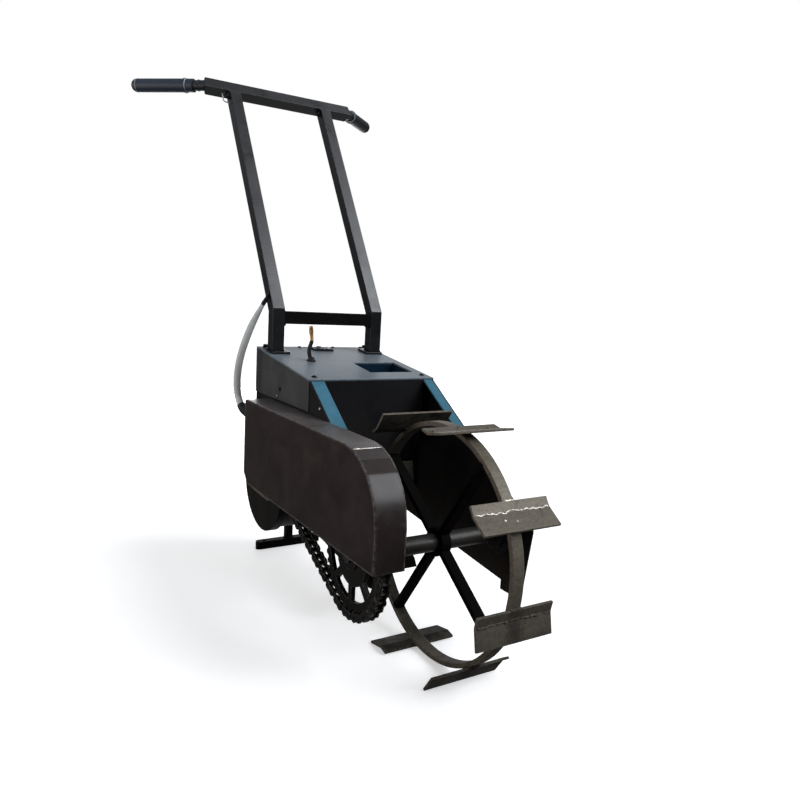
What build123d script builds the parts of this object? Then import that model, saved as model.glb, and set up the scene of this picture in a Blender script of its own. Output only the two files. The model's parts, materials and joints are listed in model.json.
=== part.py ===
from build123d import *
import os
from math import atan2, cos, degrees, hypot, pi, radians, sin, sqrt, tan

# Battery mini tiller: a lugged steel wheel between two side panels, driven by a chain from a motor
# under a battery box, with a push handle above and a tool bar trailing behind.
# Frame: +X ahead, +Y to the operator's left, +Z up. The origin lies on the floor, under the middle
# of the machine's box. Millimetres. Places named BACK are behind the axle, places named RISE are
# above it, and places named SIDE are from the wheel's middle plane, which stands a little left of
# the origin, because the right grip is longer than the left one.

# Lugged wheel
RIM_OUTER_RADIUS = 199.5
RIM_THICKNESS = 8
RIM_WIDTH = 20
LUG_COUNT = 8
LUG_HEIGHT = 20.5
LUG_WIDTH = 140
LUG_THICKNESS = 4
LUG_FOOT = 16
LUG_SWEEP = 10.2
SPOKE_BARS = 2
SPOKE_ANGLE = -35
SPOKE_HEIGHT = 9
SPOKE_WIDTH = 18

# Axle and bearings
AXLE_TUBE_RADIUS = 15
JOURNAL_RADIUS = 10
BEARING_RADIUS = 26
BEARING_DEPTH = 17
BEARING_FLANGE_RADIUS = 38
BEARING_FLANGE_DEPTH = 7
AXLE_END_GAP = 6
AXLE_STUB = 5
PANEL_HOLE_RADIUS = 14

# Chain drive
CHAIN_PITCH = 15.875
WHEEL_TEETH = 37
MOTOR_TEETH = 11
CHAIN_PLATE_HEIGHT = 15
CHAIN_PLATE_WAIST = 10.5
CHAIN_PLATE_END = 5
CHAIN_PLATE_THICKNESS = 2
CHAIN_INNER_WIDTH = 9.5
ROLLER_RADIUS = 5
ROLLER_FACES = 4
TOOTH_THICKNESS = 7
TOOTH_DEPTH = 5
TOOTH_CLEARANCE = 0.5
SPROCKET_RING_INNER = 72
SPROCKET_WEB_RADIUS = 48
SPROCKET_ARMS = 8
SPROCKET_ARM_WIDTH = 11
SPROCKET_BOSS_RADIUS = 22
SPROCKET_BOSS_LENGTH = 14
CHAIN_GAP = 25.8
MOTOR_SHAFT_BACK = 365
MOTOR_SHAFT_RISE = 92
MOTOR_SHAFT_RADIUS = 8
GEAR_CASE_DEPTH = 14
GEAR_CASE_NECK = 36
MOTOR_BACK = 425
MOTOR_RISE = 6
MOTOR_LENGTH = 140
MOTOR_EDGE = 12
MOTOR_LOBE_RADIUS = 100
MOTOR_LOBE_EDGE = 5

# Battery box
BOX_WIDTH = 266.4
SHEET = 3
SKIN = 1.5
SKIN_GAP = 4
BOX_REAR_BACK = 510
BOX_FRONT_BACK = 240
BOX_REAR_RISE = 276.4
BOX_FRONT_RISE = 240
RIGHT_NOSE_RADIUS = 55
RIGHT_REAR_BOTTOM = 14
LEFT_REAR_BOTTOM = -28
LEFT_NOSE_FRONT = 82
LEFT_NOSE_RISE = 29
LEFT_NOSE_EDGE = 12
LEFT_TONGUE_FRONT = 64
LEFT_TONGUE_REAR = 12
LEFT_TONGUE_BOTTOM = -101
LEFT_BOTTOM = -84
FLANGE_LENGTH = 165
RIGHT_FLANGE_WIDTH = 25.5
LEFT_FLANGE_WIDTH = 19
SHELF_GAP = 6
BULKHEAD_BOTTOM = 15
BATTERY_END_GAP = 12
BATTERY_SIDE_GAP = 30
BATTERY_TOP_GAP = 3
RECESS_LENGTH = 80
RECESS_WIDTH = 98
RECESS_DEPTH = 24
RECESS_BACK = 327
RECESS_EDGE = 18
SWITCH_BACK = 479
SWITCH_SIDE = 2
SWITCH_LENGTH = 22
SWITCH_WIDTH = 44
SWITCH_HEIGHT = 4
LEAD_BACK = 380
LEAD_SIDE = -68
LEAD_RADIUS = 4
LEAD_HEIGHT = 40
LEAD_BOW = 7
LEAD_BEND = 30
TERMINAL_RADIUS = 3
TERMINAL_LENGTH = 30
TERMINAL_LEAN = 6

# Chain cover
COVER_SETBACK = 27
COVER_FRONT = 107
COVER_TOP = 178
COVER_BOTTOM = 10
COVER_WIDTH = 52
COVER_SHEET = 2
COVER_NOSE_RADIUS = 105
COVER_NOSE_FACETS = 6
COVER_CHAMFER = 20
COVER_CORNER = 5
COVER_NOTCH_GAP = 4

# Handle
TUBE = 25.4
POST_INSET = 19.7
POST_BACK = 457
BEND_RISE = 356
HANDLE_BACK = 764
HANDLE_RISE = 842
CROSSBAR_RISE = 341
FOOT_LENGTH = 40
FOOT_WIDTH = 38
FOOT_SHIFT = 5
FOOT_THICKNESS = 5
BAR_LENGTH = 360
GRIP_SWEEP = 42
BAR_END_EDGE = 2
NECK_RADIUS = 11.5
NECK_LENGTH = 25
COLLAR_RADIUS = 14.5
COLLAR_LENGTH = 18
GRIP_RADIUS = 14.75
GRIP_RING_RADIUS = 16
GRIP_RING_LENGTH = 4
RIGHT_GRIP_LENGTH = 135
LEFT_GRIP_LENGTH = 122
WIRE_RADIUS = 1.5
WIRE_DROP = 24
WIRE_OUT = 15

# Tool bar behind the box
BRACKET_WIDTH = 90
BRACKET_HEIGHT = 90
BRACKET_THICKNESS = 6
BRACKET_RISE = 165
DRAWBAR_SIZE = 30
TOOL_SIDE = -15
SHANK_BACK = 592
SHANK_SIZE = 16
SHANK_TOP = 205
CLAMP_WALL = 7
CLAMP_HEIGHT = 50
TOOLBAR_LENGTH = 160
TOOLBAR_SIZE = 18
TOOLBAR_HOLE_RADIUS = 5.25
TOOLBAR_HOLE_SPACING = 120

# Conduit from the right upright to the chain cover
CONDUIT_RADIUS = 7.5
CONDUIT_FILL = 0.45
UPPER_GLAND_TAPER = 5
LOWER_GLAND_RADIUS = 9.5

# Fit of a shaft in its hole, and seat of a flat piece on a round one
FIT = 0.05
SEAT = 0.1

# Places worked out from the sizes
LUG_TIP_RADIUS = RIM_OUTER_RADIUS + LUG_HEIGHT
GRIP_BACK = sin(radians(GRIP_SWEEP))
GRIP_OUT = cos(radians(GRIP_SWEEP))
LEAN = atan2(HANDLE_BACK - POST_BACK, HANDLE_RISE - BEND_RISE)
UPRIGHT_END_BACK = HANDLE_BACK - TUBE / 2 * sin(LEAN)
UPRIGHT_END_RISE = HANDLE_RISE - TUBE / 2 * cos(LEAN)
RIGHT_GRIP_START = NECK_LENGTH + COLLAR_LENGTH
RIGHT_STUB = RIGHT_GRIP_START + RIGHT_GRIP_LENGTH - GRIP_RADIUS
LEFT_STUB = NECK_LENGTH + LEFT_GRIP_LENGTH - GRIP_RADIUS
WHEEL_SIDE = (RIGHT_STUB - LEFT_STUB) * GRIP_OUT / 2
REAR_REACH = HANDLE_BACK + RIGHT_STUB * GRIP_BACK + GRIP_RADIUS
FRONT_REACH = LUG_TIP_RADIUS * cos(pi / LUG_COUNT)
AXLE_AHEAD = (REAR_REACH - FRONT_REACH) / 2
AXLE_HEIGHT = LUG_TIP_RADIUS * cos(pi / LUG_COUNT)
PANEL_OUT = BOX_WIDTH / 2
PANEL_IN = PANEL_OUT - SHEET
CHAIN_SIDE = PANEL_OUT + CHAIN_GAP
TOP_SLOPE = atan2(BOX_REAR_RISE - BOX_FRONT_RISE, BOX_REAR_BACK - BOX_FRONT_BACK)
SHEET_DROP = SHEET / cos(TOP_SLOPE)
WHEEL_PITCH_RADIUS = CHAIN_PITCH / (2 * sin(pi / WHEEL_TEETH))
MOTOR_PITCH_RADIUS = CHAIN_PITCH / (2 * sin(pi / MOTOR_TEETH))
TIP_DROP = ROLLER_RADIUS + TOOTH_CLEARANCE
AXLE_TUBE_END = PANEL_IN - BEARING_DEPTH - AXLE_END_GAP
MOTOR_SHAFT = (-MOTOR_SHAFT_BACK, MOTOR_SHAFT_RISE)
MOTOR_RADIUS = MOTOR_LOBE_RADIUS - MOTOR_LOBE_EDGE
SHELF_RISE = MOTOR_RISE + MOTOR_LOBE_RADIUS + SHELF_GAP
RECESS_SIDE = PANEL_OUT - RECESS_EDGE - RECESS_WIDTH / 2
UPRIGHT_SPACING = BOX_WIDTH - 2 * POST_INSET
COVER_REAR_BACK = POST_BACK - COVER_SETBACK


def place(back, out, rise):
    """Point given by its place behind the axle, left of the wheel's middle and above the axle."""
    return Vector(AXLE_AHEAD - back, WHEEL_SIDE + out, AXLE_HEIGHT + rise)


def turned_side(out, angle):
    """Upright plane beside the wheel's middle, with x at an angle up from ahead of the axle."""
    ahead = (cos(radians(angle)), 0, sin(radians(angle)))
    return Plane(origin=place(0, out, 0), x_dir=ahead, z_dir=(0, -1, 0))


def side(out):
    """Upright plane beside the wheel's middle, with x ahead of the axle and y up from it."""
    return turned_side(out, 0)


def top_rise(back):
    """Rise of the top plate's upper face at a place behind the axle."""
    return BOX_FRONT_RISE + (back - BOX_FRONT_BACK) * tan(TOP_SLOPE)


def top_plane(back, out):
    """Plane on the sloped top plate, with x down the slope to the front."""
    downhill = (cos(TOP_SLOPE), 0, -sin(TOP_SLOPE))
    normal = (sin(TOP_SLOPE), 0, cos(TOP_SLOPE))
    return Plane(origin=place(back, out, top_rise(back)), x_dir=downhill, z_dir=normal)


def save(piece, label):
    """Name a finished piece and write its file."""
    piece.part.label = label
    export_step(piece.part, "parts/" + label + ".step")


# Lugged wheel: rim
with BuildPart() as rim:
    with BuildSketch(side(RIM_WIDTH / 2)):
        Circle(RIM_OUTER_RADIUS)
        Circle(RIM_OUTER_RADIUS - RIM_THICKNESS, mode=Mode.SUBTRACT)
    extrude(amount=RIM_WIDTH)
save(rim, "rim")

# Lugged wheel: bent plates, each a foot on the rim and a blade that leans out to its tip
foot_base = RIM_OUTER_RADIUS + SEAT
foot_top = foot_base + LUG_THICKNESS
tip_out = LUG_TIP_RADIUS * cos(radians(LUG_SWEEP))
tip_ahead = LUG_TIP_RADIUS * sin(radians(LUG_SWEEP))
blade_run = tip_ahead - LUG_FOOT / 2
blade_rise = tip_out - foot_top
blade_length = hypot(blade_run, blade_rise)
blade_out = LUG_THICKNESS * blade_run / blade_length
blade_ahead = LUG_THICKNESS * blade_rise / blade_length
fold_ahead = LUG_FOOT / 2 + blade_ahead - (LUG_THICKNESS - blade_out) * blade_run / blade_rise
with BuildPart() as lugs:
    for number in range(LUG_COUNT):
        angle = (number + 0.5) * 360 / LUG_COUNT + LUG_SWEEP
        with BuildSketch(turned_side(LUG_WIDTH / 2, angle)):
            with BuildLine():
                Polyline(
                    (foot_base, LUG_FOOT / 2),
                    (foot_top, LUG_FOOT / 2),
                    (foot_top, -LUG_FOOT / 2),
                    (tip_out, -tip_ahead),
                    (tip_out - blade_out, -tip_ahead - blade_ahead),
                    (foot_base, -fold_ahead),
                    close=True,
                )
            make_face()
        extrude(amount=LUG_WIDTH)
save(lugs, "lugs")

# Lugged wheel: two flat bars that cross at the axle
bar_half = sqrt((RIM_OUTER_RADIUS - RIM_THICKNESS - SEAT) ** 2 - (SPOKE_HEIGHT / 2) ** 2)
with BuildPart() as spokes:
    with BuildSketch(turned_side(SPOKE_WIDTH / 2, SPOKE_ANGLE)):
        with PolarLocations(0, SPOKE_BARS, angular_range=180):
            Rectangle(2 * bar_half, SPOKE_HEIGHT)
        Circle(AXLE_TUBE_RADIUS + SPOKE_HEIGHT)
        Circle(AXLE_TUBE_RADIUS + FIT, mode=Mode.SUBTRACT)
    extrude(amount=SPOKE_WIDTH)
save(spokes, "spokes")

# Axle: a tube between the bearings with a journal at each end, the right one out to the sprocket
right_end = CHAIN_SIDE + SPROCKET_BOSS_LENGTH / 2 + AXLE_STUB
left_end = PANEL_OUT + AXLE_STUB
with BuildPart() as axle:
    with BuildSketch(side(left_end)):
        Circle(JOURNAL_RADIUS)
    extrude(amount=left_end + right_end)
    with BuildSketch(side(AXLE_TUBE_END)):
        Circle(AXLE_TUBE_RADIUS)
    extrude(amount=2 * AXLE_TUBE_END)
save(axle, "axle")

# Bearings on the panels' inner faces
for label, turn in (("right_bearing", 1), ("left_bearing", -1)):
    with BuildPart() as bearing:
        with BuildSketch(side(-turn * PANEL_IN)):
            Circle(BEARING_FLANGE_RADIUS)
            Circle(JOURNAL_RADIUS + FIT, mode=Mode.SUBTRACT)
        extrude(amount=-turn * BEARING_FLANGE_DEPTH)
        with BuildSketch(side(-turn * PANEL_IN)):
            Circle(BEARING_RADIUS)
            Circle(JOURNAL_RADIUS + FIT, mode=Mode.SUBTRACT)
        extrude(amount=-turn * BEARING_DEPTH)
    save(bearing, label)


def chain_path(offset):
    """Outline of the chain's loop, at an offset from its pitch line."""
    with BuildSketch() as outline:
        Circle(WHEEL_PITCH_RADIUS + offset)
        with Locations(MOTOR_SHAFT):
            Circle(MOTOR_PITCH_RADIUS + offset)
        make_hull()
    return outline.sketch


# Chain: rollers joined by plates, thick and thin links in turn, fused along the loop's pitch line
pitch_line = chain_path(0).face().outer_wire()
pair_count = round(pitch_line.length / CHAIN_PITCH / 2)
pins = [pitch_line.position_at(number / pair_count / 2) for number in range(2 * pair_count)]


def link_point(pair, along, across):
    """Point on a thick link: along is from 0 at its first pin to 1, then past the pins in mm."""
    first = pins[2 * (pair % pair_count)]
    second = pins[2 * (pair % pair_count) + 1]
    run = (second - first).normalized()
    past = min(along, 0) + max(along - 1, 0)
    held = min(max(along, 0), 1)
    return first + (second - first) * held + run * past + Vector(-run.Y, run.X) * across


thick_ends = (-CHAIN_PLATE_END, 1 + CHAIN_PLATE_END)
half_end = CHAIN_PLATE_WAIST / 2
half_plate = CHAIN_PLATE_HEIGHT / 2
with BuildSketch() as thick_links:
    for pair in range(pair_count):
        upper = [
            link_point(pair, thick_ends[0], half_end),
            link_point(pair, 0, half_plate),
            link_point(pair, 0.5, half_end),
            link_point(pair, 1, half_plate),
            link_point(pair, thick_ends[1], half_end),
        ]
        lower = [
            link_point(pair, thick_ends[1], -half_end),
            link_point(pair, 1, -half_plate),
            link_point(pair, 0.5, -half_end),
            link_point(pair, 0, -half_plate),
            link_point(pair, thick_ends[0], -half_end),
        ]
        Polygon(*upper, *lower, align=None)
with BuildSketch() as thin_links:
    for pair in range(pair_count):
        Polygon(
            link_point(pair, thick_ends[1], half_end),
            link_point(pair + 1, thick_ends[0], half_end),
            link_point(pair + 1, thick_ends[0], -half_end),
            link_point(pair, thick_ends[1], -half_end),
            align=None,
        )
inner_side = CHAIN_INNER_WIDTH / 2
with BuildPart() as chain:
    with BuildSketch(side(inner_side - CHAIN_SIDE)):
        with Locations(*pins):
            RegularPolygon(ROLLER_RADIUS, ROLLER_FACES)
    extrude(amount=CHAIN_INNER_WIDTH)
    for links, thickness in (
        (thin_links, CHAIN_PLATE_THICKNESS),
        (thick_links, 2 * CHAIN_PLATE_THICKNESS),
    ):
        with BuildSketch(side(-inner_side - CHAIN_SIDE)):
            add(links.sketch)
        extrude(amount=thickness)
        with BuildSketch(side(inner_side - CHAIN_SIDE)):
            add(links.sketch)
        extrude(amount=-thickness)
save(chain, "chain")


def toothed_disc(pitch_radius, teeth):
    """Sprocket outline whose teeth end just inside the chain's rollers."""
    tip_radius = pitch_radius - TIP_DROP
    with BuildSketch() as outline:
        Circle(tip_radius - TOOTH_DEPTH)
        with PolarLocations(tip_radius - TOOTH_DEPTH - TOOTH_CLEARANCE, teeth):
            Trapezoid(
                CHAIN_PITCH - ROLLER_RADIUS,
                TOOTH_DEPTH + TOOTH_CLEARANCE,
                60,
                rotation=-90,
                align=(Align.CENTER, Align.MIN),
            )
    return outline.sketch


# Wheel sprocket: a toothed ring carried on arms by a web and its boss
with BuildPart() as wheel_sprocket:
    with BuildSketch(side(TOOTH_THICKNESS / 2 - CHAIN_SIDE)):
        add(toothed_disc(WHEEL_PITCH_RADIUS, WHEEL_TEETH))
        Circle(SPROCKET_RING_INNER, mode=Mode.SUBTRACT)
        Circle(SPROCKET_WEB_RADIUS)
        arm_length = SPROCKET_RING_INNER - SPROCKET_WEB_RADIUS + SPROCKET_ARM_WIDTH
        with PolarLocations((SPROCKET_RING_INNER + SPROCKET_WEB_RADIUS) / 2, SPROCKET_ARMS):
            Rectangle(arm_length, SPROCKET_ARM_WIDTH)
        Circle(JOURNAL_RADIUS + FIT, mode=Mode.SUBTRACT)
    extrude(amount=TOOTH_THICKNESS)
    with BuildSketch(side(SPROCKET_BOSS_LENGTH / 2 - CHAIN_SIDE)):
        Circle(SPROCKET_BOSS_RADIUS)
        Circle(JOURNAL_RADIUS + FIT, mode=Mode.SUBTRACT)
    extrude(amount=SPROCKET_BOSS_LENGTH)
save(wheel_sprocket, "wheel_sprocket")

# Motor sprocket on the gear case's shaft
with BuildPart() as motor_sprocket:
    with BuildSketch(side(TOOTH_THICKNESS / 2 - CHAIN_SIDE)):
        with Locations(MOTOR_SHAFT):
            add(toothed_disc(MOTOR_PITCH_RADIUS, MOTOR_TEETH))
            Circle(MOTOR_SHAFT_RADIUS + FIT, mode=Mode.SUBTRACT)
    extrude(amount=TOOTH_THICKNESS)
save(motor_sprocket, "motor_sprocket")

# Gear case outside the right panel, with its output shaft
with BuildPart() as gear_case:
    with BuildSketch(side(-PANEL_OUT)):
        with Locations((-MOTOR_BACK, MOTOR_RISE)):
            Circle(MOTOR_LOBE_RADIUS)
        with Locations(MOTOR_SHAFT):
            Circle(GEAR_CASE_NECK)
        make_hull()
    extrude(amount=GEAR_CASE_DEPTH)
    with BuildSketch(side(-PANEL_OUT - GEAR_CASE_DEPTH)):
        with Locations(MOTOR_SHAFT):
            Circle(MOTOR_SHAFT_RADIUS)
    extrude(amount=CHAIN_SIDE - PANEL_OUT - GEAR_CASE_DEPTH + TOOTH_THICKNESS)
save(gear_case, "gear_case")

# Motor drum inside the right panel
with BuildPart() as motor:
    with BuildSketch(side(-PANEL_IN)):
        with Locations((-MOTOR_BACK, MOTOR_RISE)):
            Circle(MOTOR_RADIUS)
    extrude(amount=-MOTOR_LENGTH)
    chamfer(motor.faces().sort_by(Axis.Y)[-1].edges(), MOTOR_EDGE)
save(motor, "motor")


# Right side panel: the box's side drawn out to a round nose about the axle, with a lobe that carries
# the motor and its gear case
box_corner = (-BOX_FRONT_BACK, BOX_FRONT_RISE - SHEET_DROP)
with BuildPart() as right_panel:
    with BuildSketch(side(-PANEL_IN)):
        Circle(RIGHT_NOSE_RADIUS)
        with BuildLine():
            Polyline(
                (-BOX_REAR_BACK, RIGHT_REAR_BOTTOM),
                (-BOX_REAR_BACK, BOX_REAR_RISE - SHEET_DROP),
                box_corner,
                close=True,
            )
        make_face()
        make_hull()
        with Locations((-MOTOR_BACK, MOTOR_RISE)):
            Circle(MOTOR_LOBE_RADIUS)
        Circle(PANEL_HOLE_RADIUS, mode=Mode.SUBTRACT)
    extrude(amount=SHEET)
save(right_panel, "right_side_panel")

# Left side panel, which reaches lower, with a blunt nose and a tongue under the bearing
with BuildPart() as left_panel:
    with BuildSketch(side(PANEL_OUT)) as left_outline:
        with BuildLine():
            Polyline(
                (-BOX_REAR_BACK, LEFT_REAR_BOTTOM),
                (-BOX_REAR_BACK, BOX_REAR_RISE - SHEET_DROP),
                box_corner,
                (LEFT_NOSE_FRONT, LEFT_NOSE_RISE),
                (LEFT_TONGUE_FRONT, LEFT_TONGUE_BOTTOM),
                (LEFT_TONGUE_REAR, LEFT_TONGUE_BOTTOM),
                (LEFT_TONGUE_REAR, LEFT_BOTTOM),
                close=True,
            )
        make_face()
        fillet(left_outline.vertices().group_by(Axis.X)[-2:], LEFT_NOSE_EDGE)
        Circle(PANEL_HOLE_RADIUS, mode=Mode.SUBTRACT)
    extrude(amount=SHEET)
save(left_panel, "left_side_panel")

# Box sides: thin skins outside the panels, behind the line of the top plate's front edge
for label, turn, bottom in (
    ("right_box_side", -1, COVER_TOP + SKIN_GAP),
    ("left_box_side", 1, SHELF_RISE),
):
    with BuildPart() as box_side:
        with BuildSketch(side(turn * PANEL_OUT)):
            with BuildLine():
                Polyline(
                    (-BOX_REAR_BACK, bottom),
                    (-BOX_REAR_BACK, BOX_REAR_RISE - SHEET_DROP),
                    (-BOX_FRONT_BACK, BOX_FRONT_RISE - SHEET_DROP),
                    (-BOX_FRONT_BACK, bottom),
                    close=True,
                )
            make_face()
        extrude(amount=-turn * SKIN)
    save(box_side, label)

# Flanges that stand inward from the panels' sloping front edges
corner_rise = BOX_FRONT_RISE - SHEET_DROP
right_edge = sqrt(BOX_FRONT_BACK**2 + corner_rise**2 - RIGHT_NOSE_RADIUS**2)
right_slope = atan2(corner_rise, BOX_FRONT_BACK) - atan2(RIGHT_NOSE_RADIUS, right_edge)
left_slope = atan2(corner_rise - LEFT_NOSE_RISE, BOX_FRONT_BACK + LEFT_NOSE_FRONT)
for label, turn, slope, width in (
    ("right_front_flange", -1, right_slope, RIGHT_FLANGE_WIDTH),
    ("left_front_flange", 1, left_slope, LEFT_FLANGE_WIDTH),
):
    along = (cos(slope), 0, -sin(slope))
    outward = (sin(slope), 0, cos(slope))
    edge = Plane(
        origin=place(BOX_FRONT_BACK, turn * PANEL_IN, corner_rise), x_dir=along, z_dir=outward
    )
    with BuildPart() as flange:
        with BuildSketch(edge):
            with Locations((FLANGE_LENGTH / 2, -turn * width / 2)):
                Rectangle(FLANGE_LENGTH, width)
        extrude(amount=-SHEET)
    save(flange, label)

# Rear panel, front bulkhead and battery shelf between the side panels
shelf_top = SHELF_RISE + SHEET
rear_inner = BOX_REAR_BACK - SHEET
front_inner = BOX_FRONT_BACK + SHEET
with BuildPart() as rear_panel:
    with BuildSketch(side(PANEL_IN)):
        with BuildLine():
            Polyline(
                (-BOX_REAR_BACK, SHELF_RISE),
                (-rear_inner, SHELF_RISE),
                (-rear_inner, top_rise(rear_inner) - SHEET_DROP),
                (-BOX_REAR_BACK, BOX_REAR_RISE - SHEET_DROP),
                close=True,
            )
        make_face()
    extrude(amount=2 * PANEL_IN)
save(rear_panel, "rear_panel")

with BuildPart() as bulkhead:
    with BuildSketch(side(PANEL_IN - LEFT_FLANGE_WIDTH)):
        with BuildLine():
            Polyline(
                (-front_inner, BULKHEAD_BOTTOM),
                (-BOX_FRONT_BACK, BULKHEAD_BOTTOM),
                (-BOX_FRONT_BACK, BOX_FRONT_RISE - SHEET_DROP),
                (-front_inner, top_rise(front_inner) - SHEET_DROP),
                close=True,
            )
        make_face()
    extrude(amount=2 * PANEL_IN - LEFT_FLANGE_WIDTH - RIGHT_FLANGE_WIDTH)
save(bulkhead, "front_bulkhead")

with BuildPart() as shelf:
    with BuildSketch(side(PANEL_IN)):
        with Locations((-(rear_inner + front_inner) / 2, SHELF_RISE + SHEET / 2)):
            Rectangle(rear_inner - front_inner, SHEET)
    extrude(amount=2 * PANEL_IN)
save(shelf, "battery_shelf")

# Battery block on its shelf, clear of the recess tray above it
battery_length = rear_inner - front_inner - 2 * BATTERY_END_GAP
battery_width = 2 * (PANEL_IN - BATTERY_SIDE_GAP)
battery_height = BOX_FRONT_RISE - SHEET - RECESS_DEPTH - BATTERY_TOP_GAP - shelf_top
with BuildPart() as battery:
    with BuildSketch(side(battery_width / 2)):
        with Locations((-(rear_inner + front_inner) / 2, shelf_top + battery_height / 2)):
            Rectangle(battery_length, battery_height)
    extrude(amount=battery_width)
save(battery, "battery")

# Sloped top plate, open at the recess and at the lead
plate_length = (BOX_REAR_BACK - BOX_FRONT_BACK) / cos(TOP_SLOPE)
with BuildPart() as top_plate:
    with BuildSketch(top_plane((BOX_REAR_BACK + BOX_FRONT_BACK) / 2, 0)):
        Rectangle(plate_length, BOX_WIDTH + 2 * SKIN)
    extrude(amount=-SHEET)
    with BuildSketch(top_plane(RECESS_BACK, RECESS_SIDE)):
        Rectangle(RECESS_LENGTH, RECESS_WIDTH)
    extrude(amount=-SHEET, mode=Mode.SUBTRACT)
save(top_plate, "top_plate")

# Recess tray that hangs from the top plate's underside
with BuildPart() as tray:
    with BuildSketch(top_plane(RECESS_BACK, RECESS_SIDE).offset(-SHEET)):
        Rectangle(RECESS_LENGTH + 2 * SHEET, RECESS_WIDTH + 2 * SHEET)
    extrude(amount=-RECESS_DEPTH)
    with BuildSketch(top_plane(RECESS_BACK, RECESS_SIDE).offset(-SHEET)):
        Rectangle(RECESS_LENGTH, RECESS_WIDTH)
    extrude(amount=SHEET - RECESS_DEPTH, mode=Mode.SUBTRACT)
save(tray, "recess_tray")

# Key switch plate
with BuildPart() as key_switch:
    with BuildSketch(top_plane(SWITCH_BACK, SWITCH_SIDE)):
        Rectangle(SWITCH_LENGTH, SWITCH_WIDTH)
    extrude(amount=SWITCH_HEIGHT)
save(key_switch, "key_switch")

# Power lead that stands bowed out of the top plate, and its terminal
lead_base = place(LEAD_BACK, LEAD_SIDE, top_rise(LEAD_BACK))
lead_bow = lead_base + Vector(0, -LEAD_BOW, LEAD_HEIGHT / 2)
lead_top = lead_base + Vector(0, 0, LEAD_HEIGHT)
lead_start = lead_base - (lead_bow - lead_base).normalized() * LEAD_RADIUS
with BuildPart() as lead:
    with BuildLine():
        FilletPolyline(lead_start, lead_bow, lead_top, radius=LEAD_BEND)
    with BuildSketch(Plane(origin=lead_start, z_dir=lead_bow - lead_start)):
        Circle(LEAD_RADIUS)
    sweep()
    split(bisect_by=top_plane(LEAD_BACK, LEAD_SIDE), keep=Keep.TOP)
save(lead, "power_lead")

terminal_lean = radians(TERMINAL_LEAN)
terminal_run = Vector(0, -sin(terminal_lean), cos(terminal_lean))
with BuildPart() as terminal:
    with BuildSketch(Plane(origin=lead_top - terminal_run * TERMINAL_RADIUS, z_dir=terminal_run)):
        Circle(TERMINAL_RADIUS)
    extrude(amount=TERMINAL_RADIUS + TERMINAL_LENGTH)
    split(bisect_by=Plane(origin=lead_top, z_dir=lead_top - lead_bow), keep=Keep.TOP)
save(terminal, "lead_terminal")

# Chain cover: a pressed tray, open towards the panel and below
with BuildPart() as cover:
    with BuildSketch(side(-PANEL_OUT)) as cover_outline:
        nose_turns = [pi / 2 * facet / COVER_NOSE_FACETS for facet in range(COVER_NOSE_FACETS + 1)]
        nose_back = COVER_FRONT - COVER_NOSE_RADIUS
        nose_rise = COVER_TOP - COVER_NOSE_RADIUS
        with BuildLine():
            Polyline(
                (COVER_FRONT, COVER_BOTTOM),
                *[
                    (nose_back + COVER_NOSE_RADIUS * cos(turn), nose_rise + COVER_NOSE_RADIUS * sin(turn))
                    for turn in nose_turns
                ],
                (-COVER_REAR_BACK, COVER_TOP),
                (-COVER_REAR_BACK, COVER_BOTTOM),
                close=True,
            )
        make_face()
        chamfer(cover_outline.vertices().group_by(Axis.X)[0].sort_by(Axis.Y)[0], COVER_CHAMFER)
        chamfer(cover_outline.vertices().group_by(Axis.X)[0].sort_by(Axis.Y)[-1], COVER_CORNER)
    extrude(amount=COVER_WIDTH)
    inner_face = cover.faces().sort_by(Axis.Y)[-1]
    bottom_face = cover.faces().filter_by(Axis.Z).sort_by(Axis.Z)[0]
    offset(amount=-COVER_SHEET, openings=[inner_face, bottom_face])
    with BuildSketch(side(-PANEL_OUT)):
        with Locations((-MOTOR_BACK, MOTOR_RISE)):
            Circle(MOTOR_LOBE_RADIUS + COVER_NOTCH_GAP)
    extrude(amount=GEAR_CASE_DEPTH + COVER_NOTCH_GAP, mode=Mode.SUBTRACT)
save(cover, "chain_cover")

# Handle: posts that bend back into slanted uprights, on foot plates
foot_top_plane = top_plane(POST_BACK, 0).offset(FOOT_THICKNESS)
for label, turn in (("right", -1), ("left", 1)):
    middle = turn * UPRIGHT_SPACING / 2
    with BuildPart() as foot:
        with BuildSketch(top_plane(POST_BACK, middle - turn * FOOT_SHIFT)):
            Rectangle(FOOT_LENGTH, FOOT_WIDTH)
        extrude(amount=FOOT_THICKNESS)
    save(foot, label + "_post_foot")
    with BuildPart() as upright:
        with BuildSketch(side(middle + TUBE / 2)):
            with BuildLine():
                Polyline(
                    (-POST_BACK, top_rise(POST_BACK) - TUBE),
                    (-POST_BACK, BEND_RISE),
                    (-UPRIGHT_END_BACK, UPRIGHT_END_RISE),
                )
            trace(line_width=TUBE)
        extrude(amount=TUBE)
        split(bisect_by=foot_top_plane, keep=Keep.TOP)
    save(upright, label + "_upright")

with BuildPart() as crossbar:
    with BuildSketch(side((UPRIGHT_SPACING - TUBE) / 2)):
        with Locations((-POST_BACK, CROSSBAR_RISE)):
            Rectangle(TUBE, TUBE)
    extrude(amount=UPRIGHT_SPACING - TUBE)
save(crossbar, "lower_crossbar")

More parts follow.
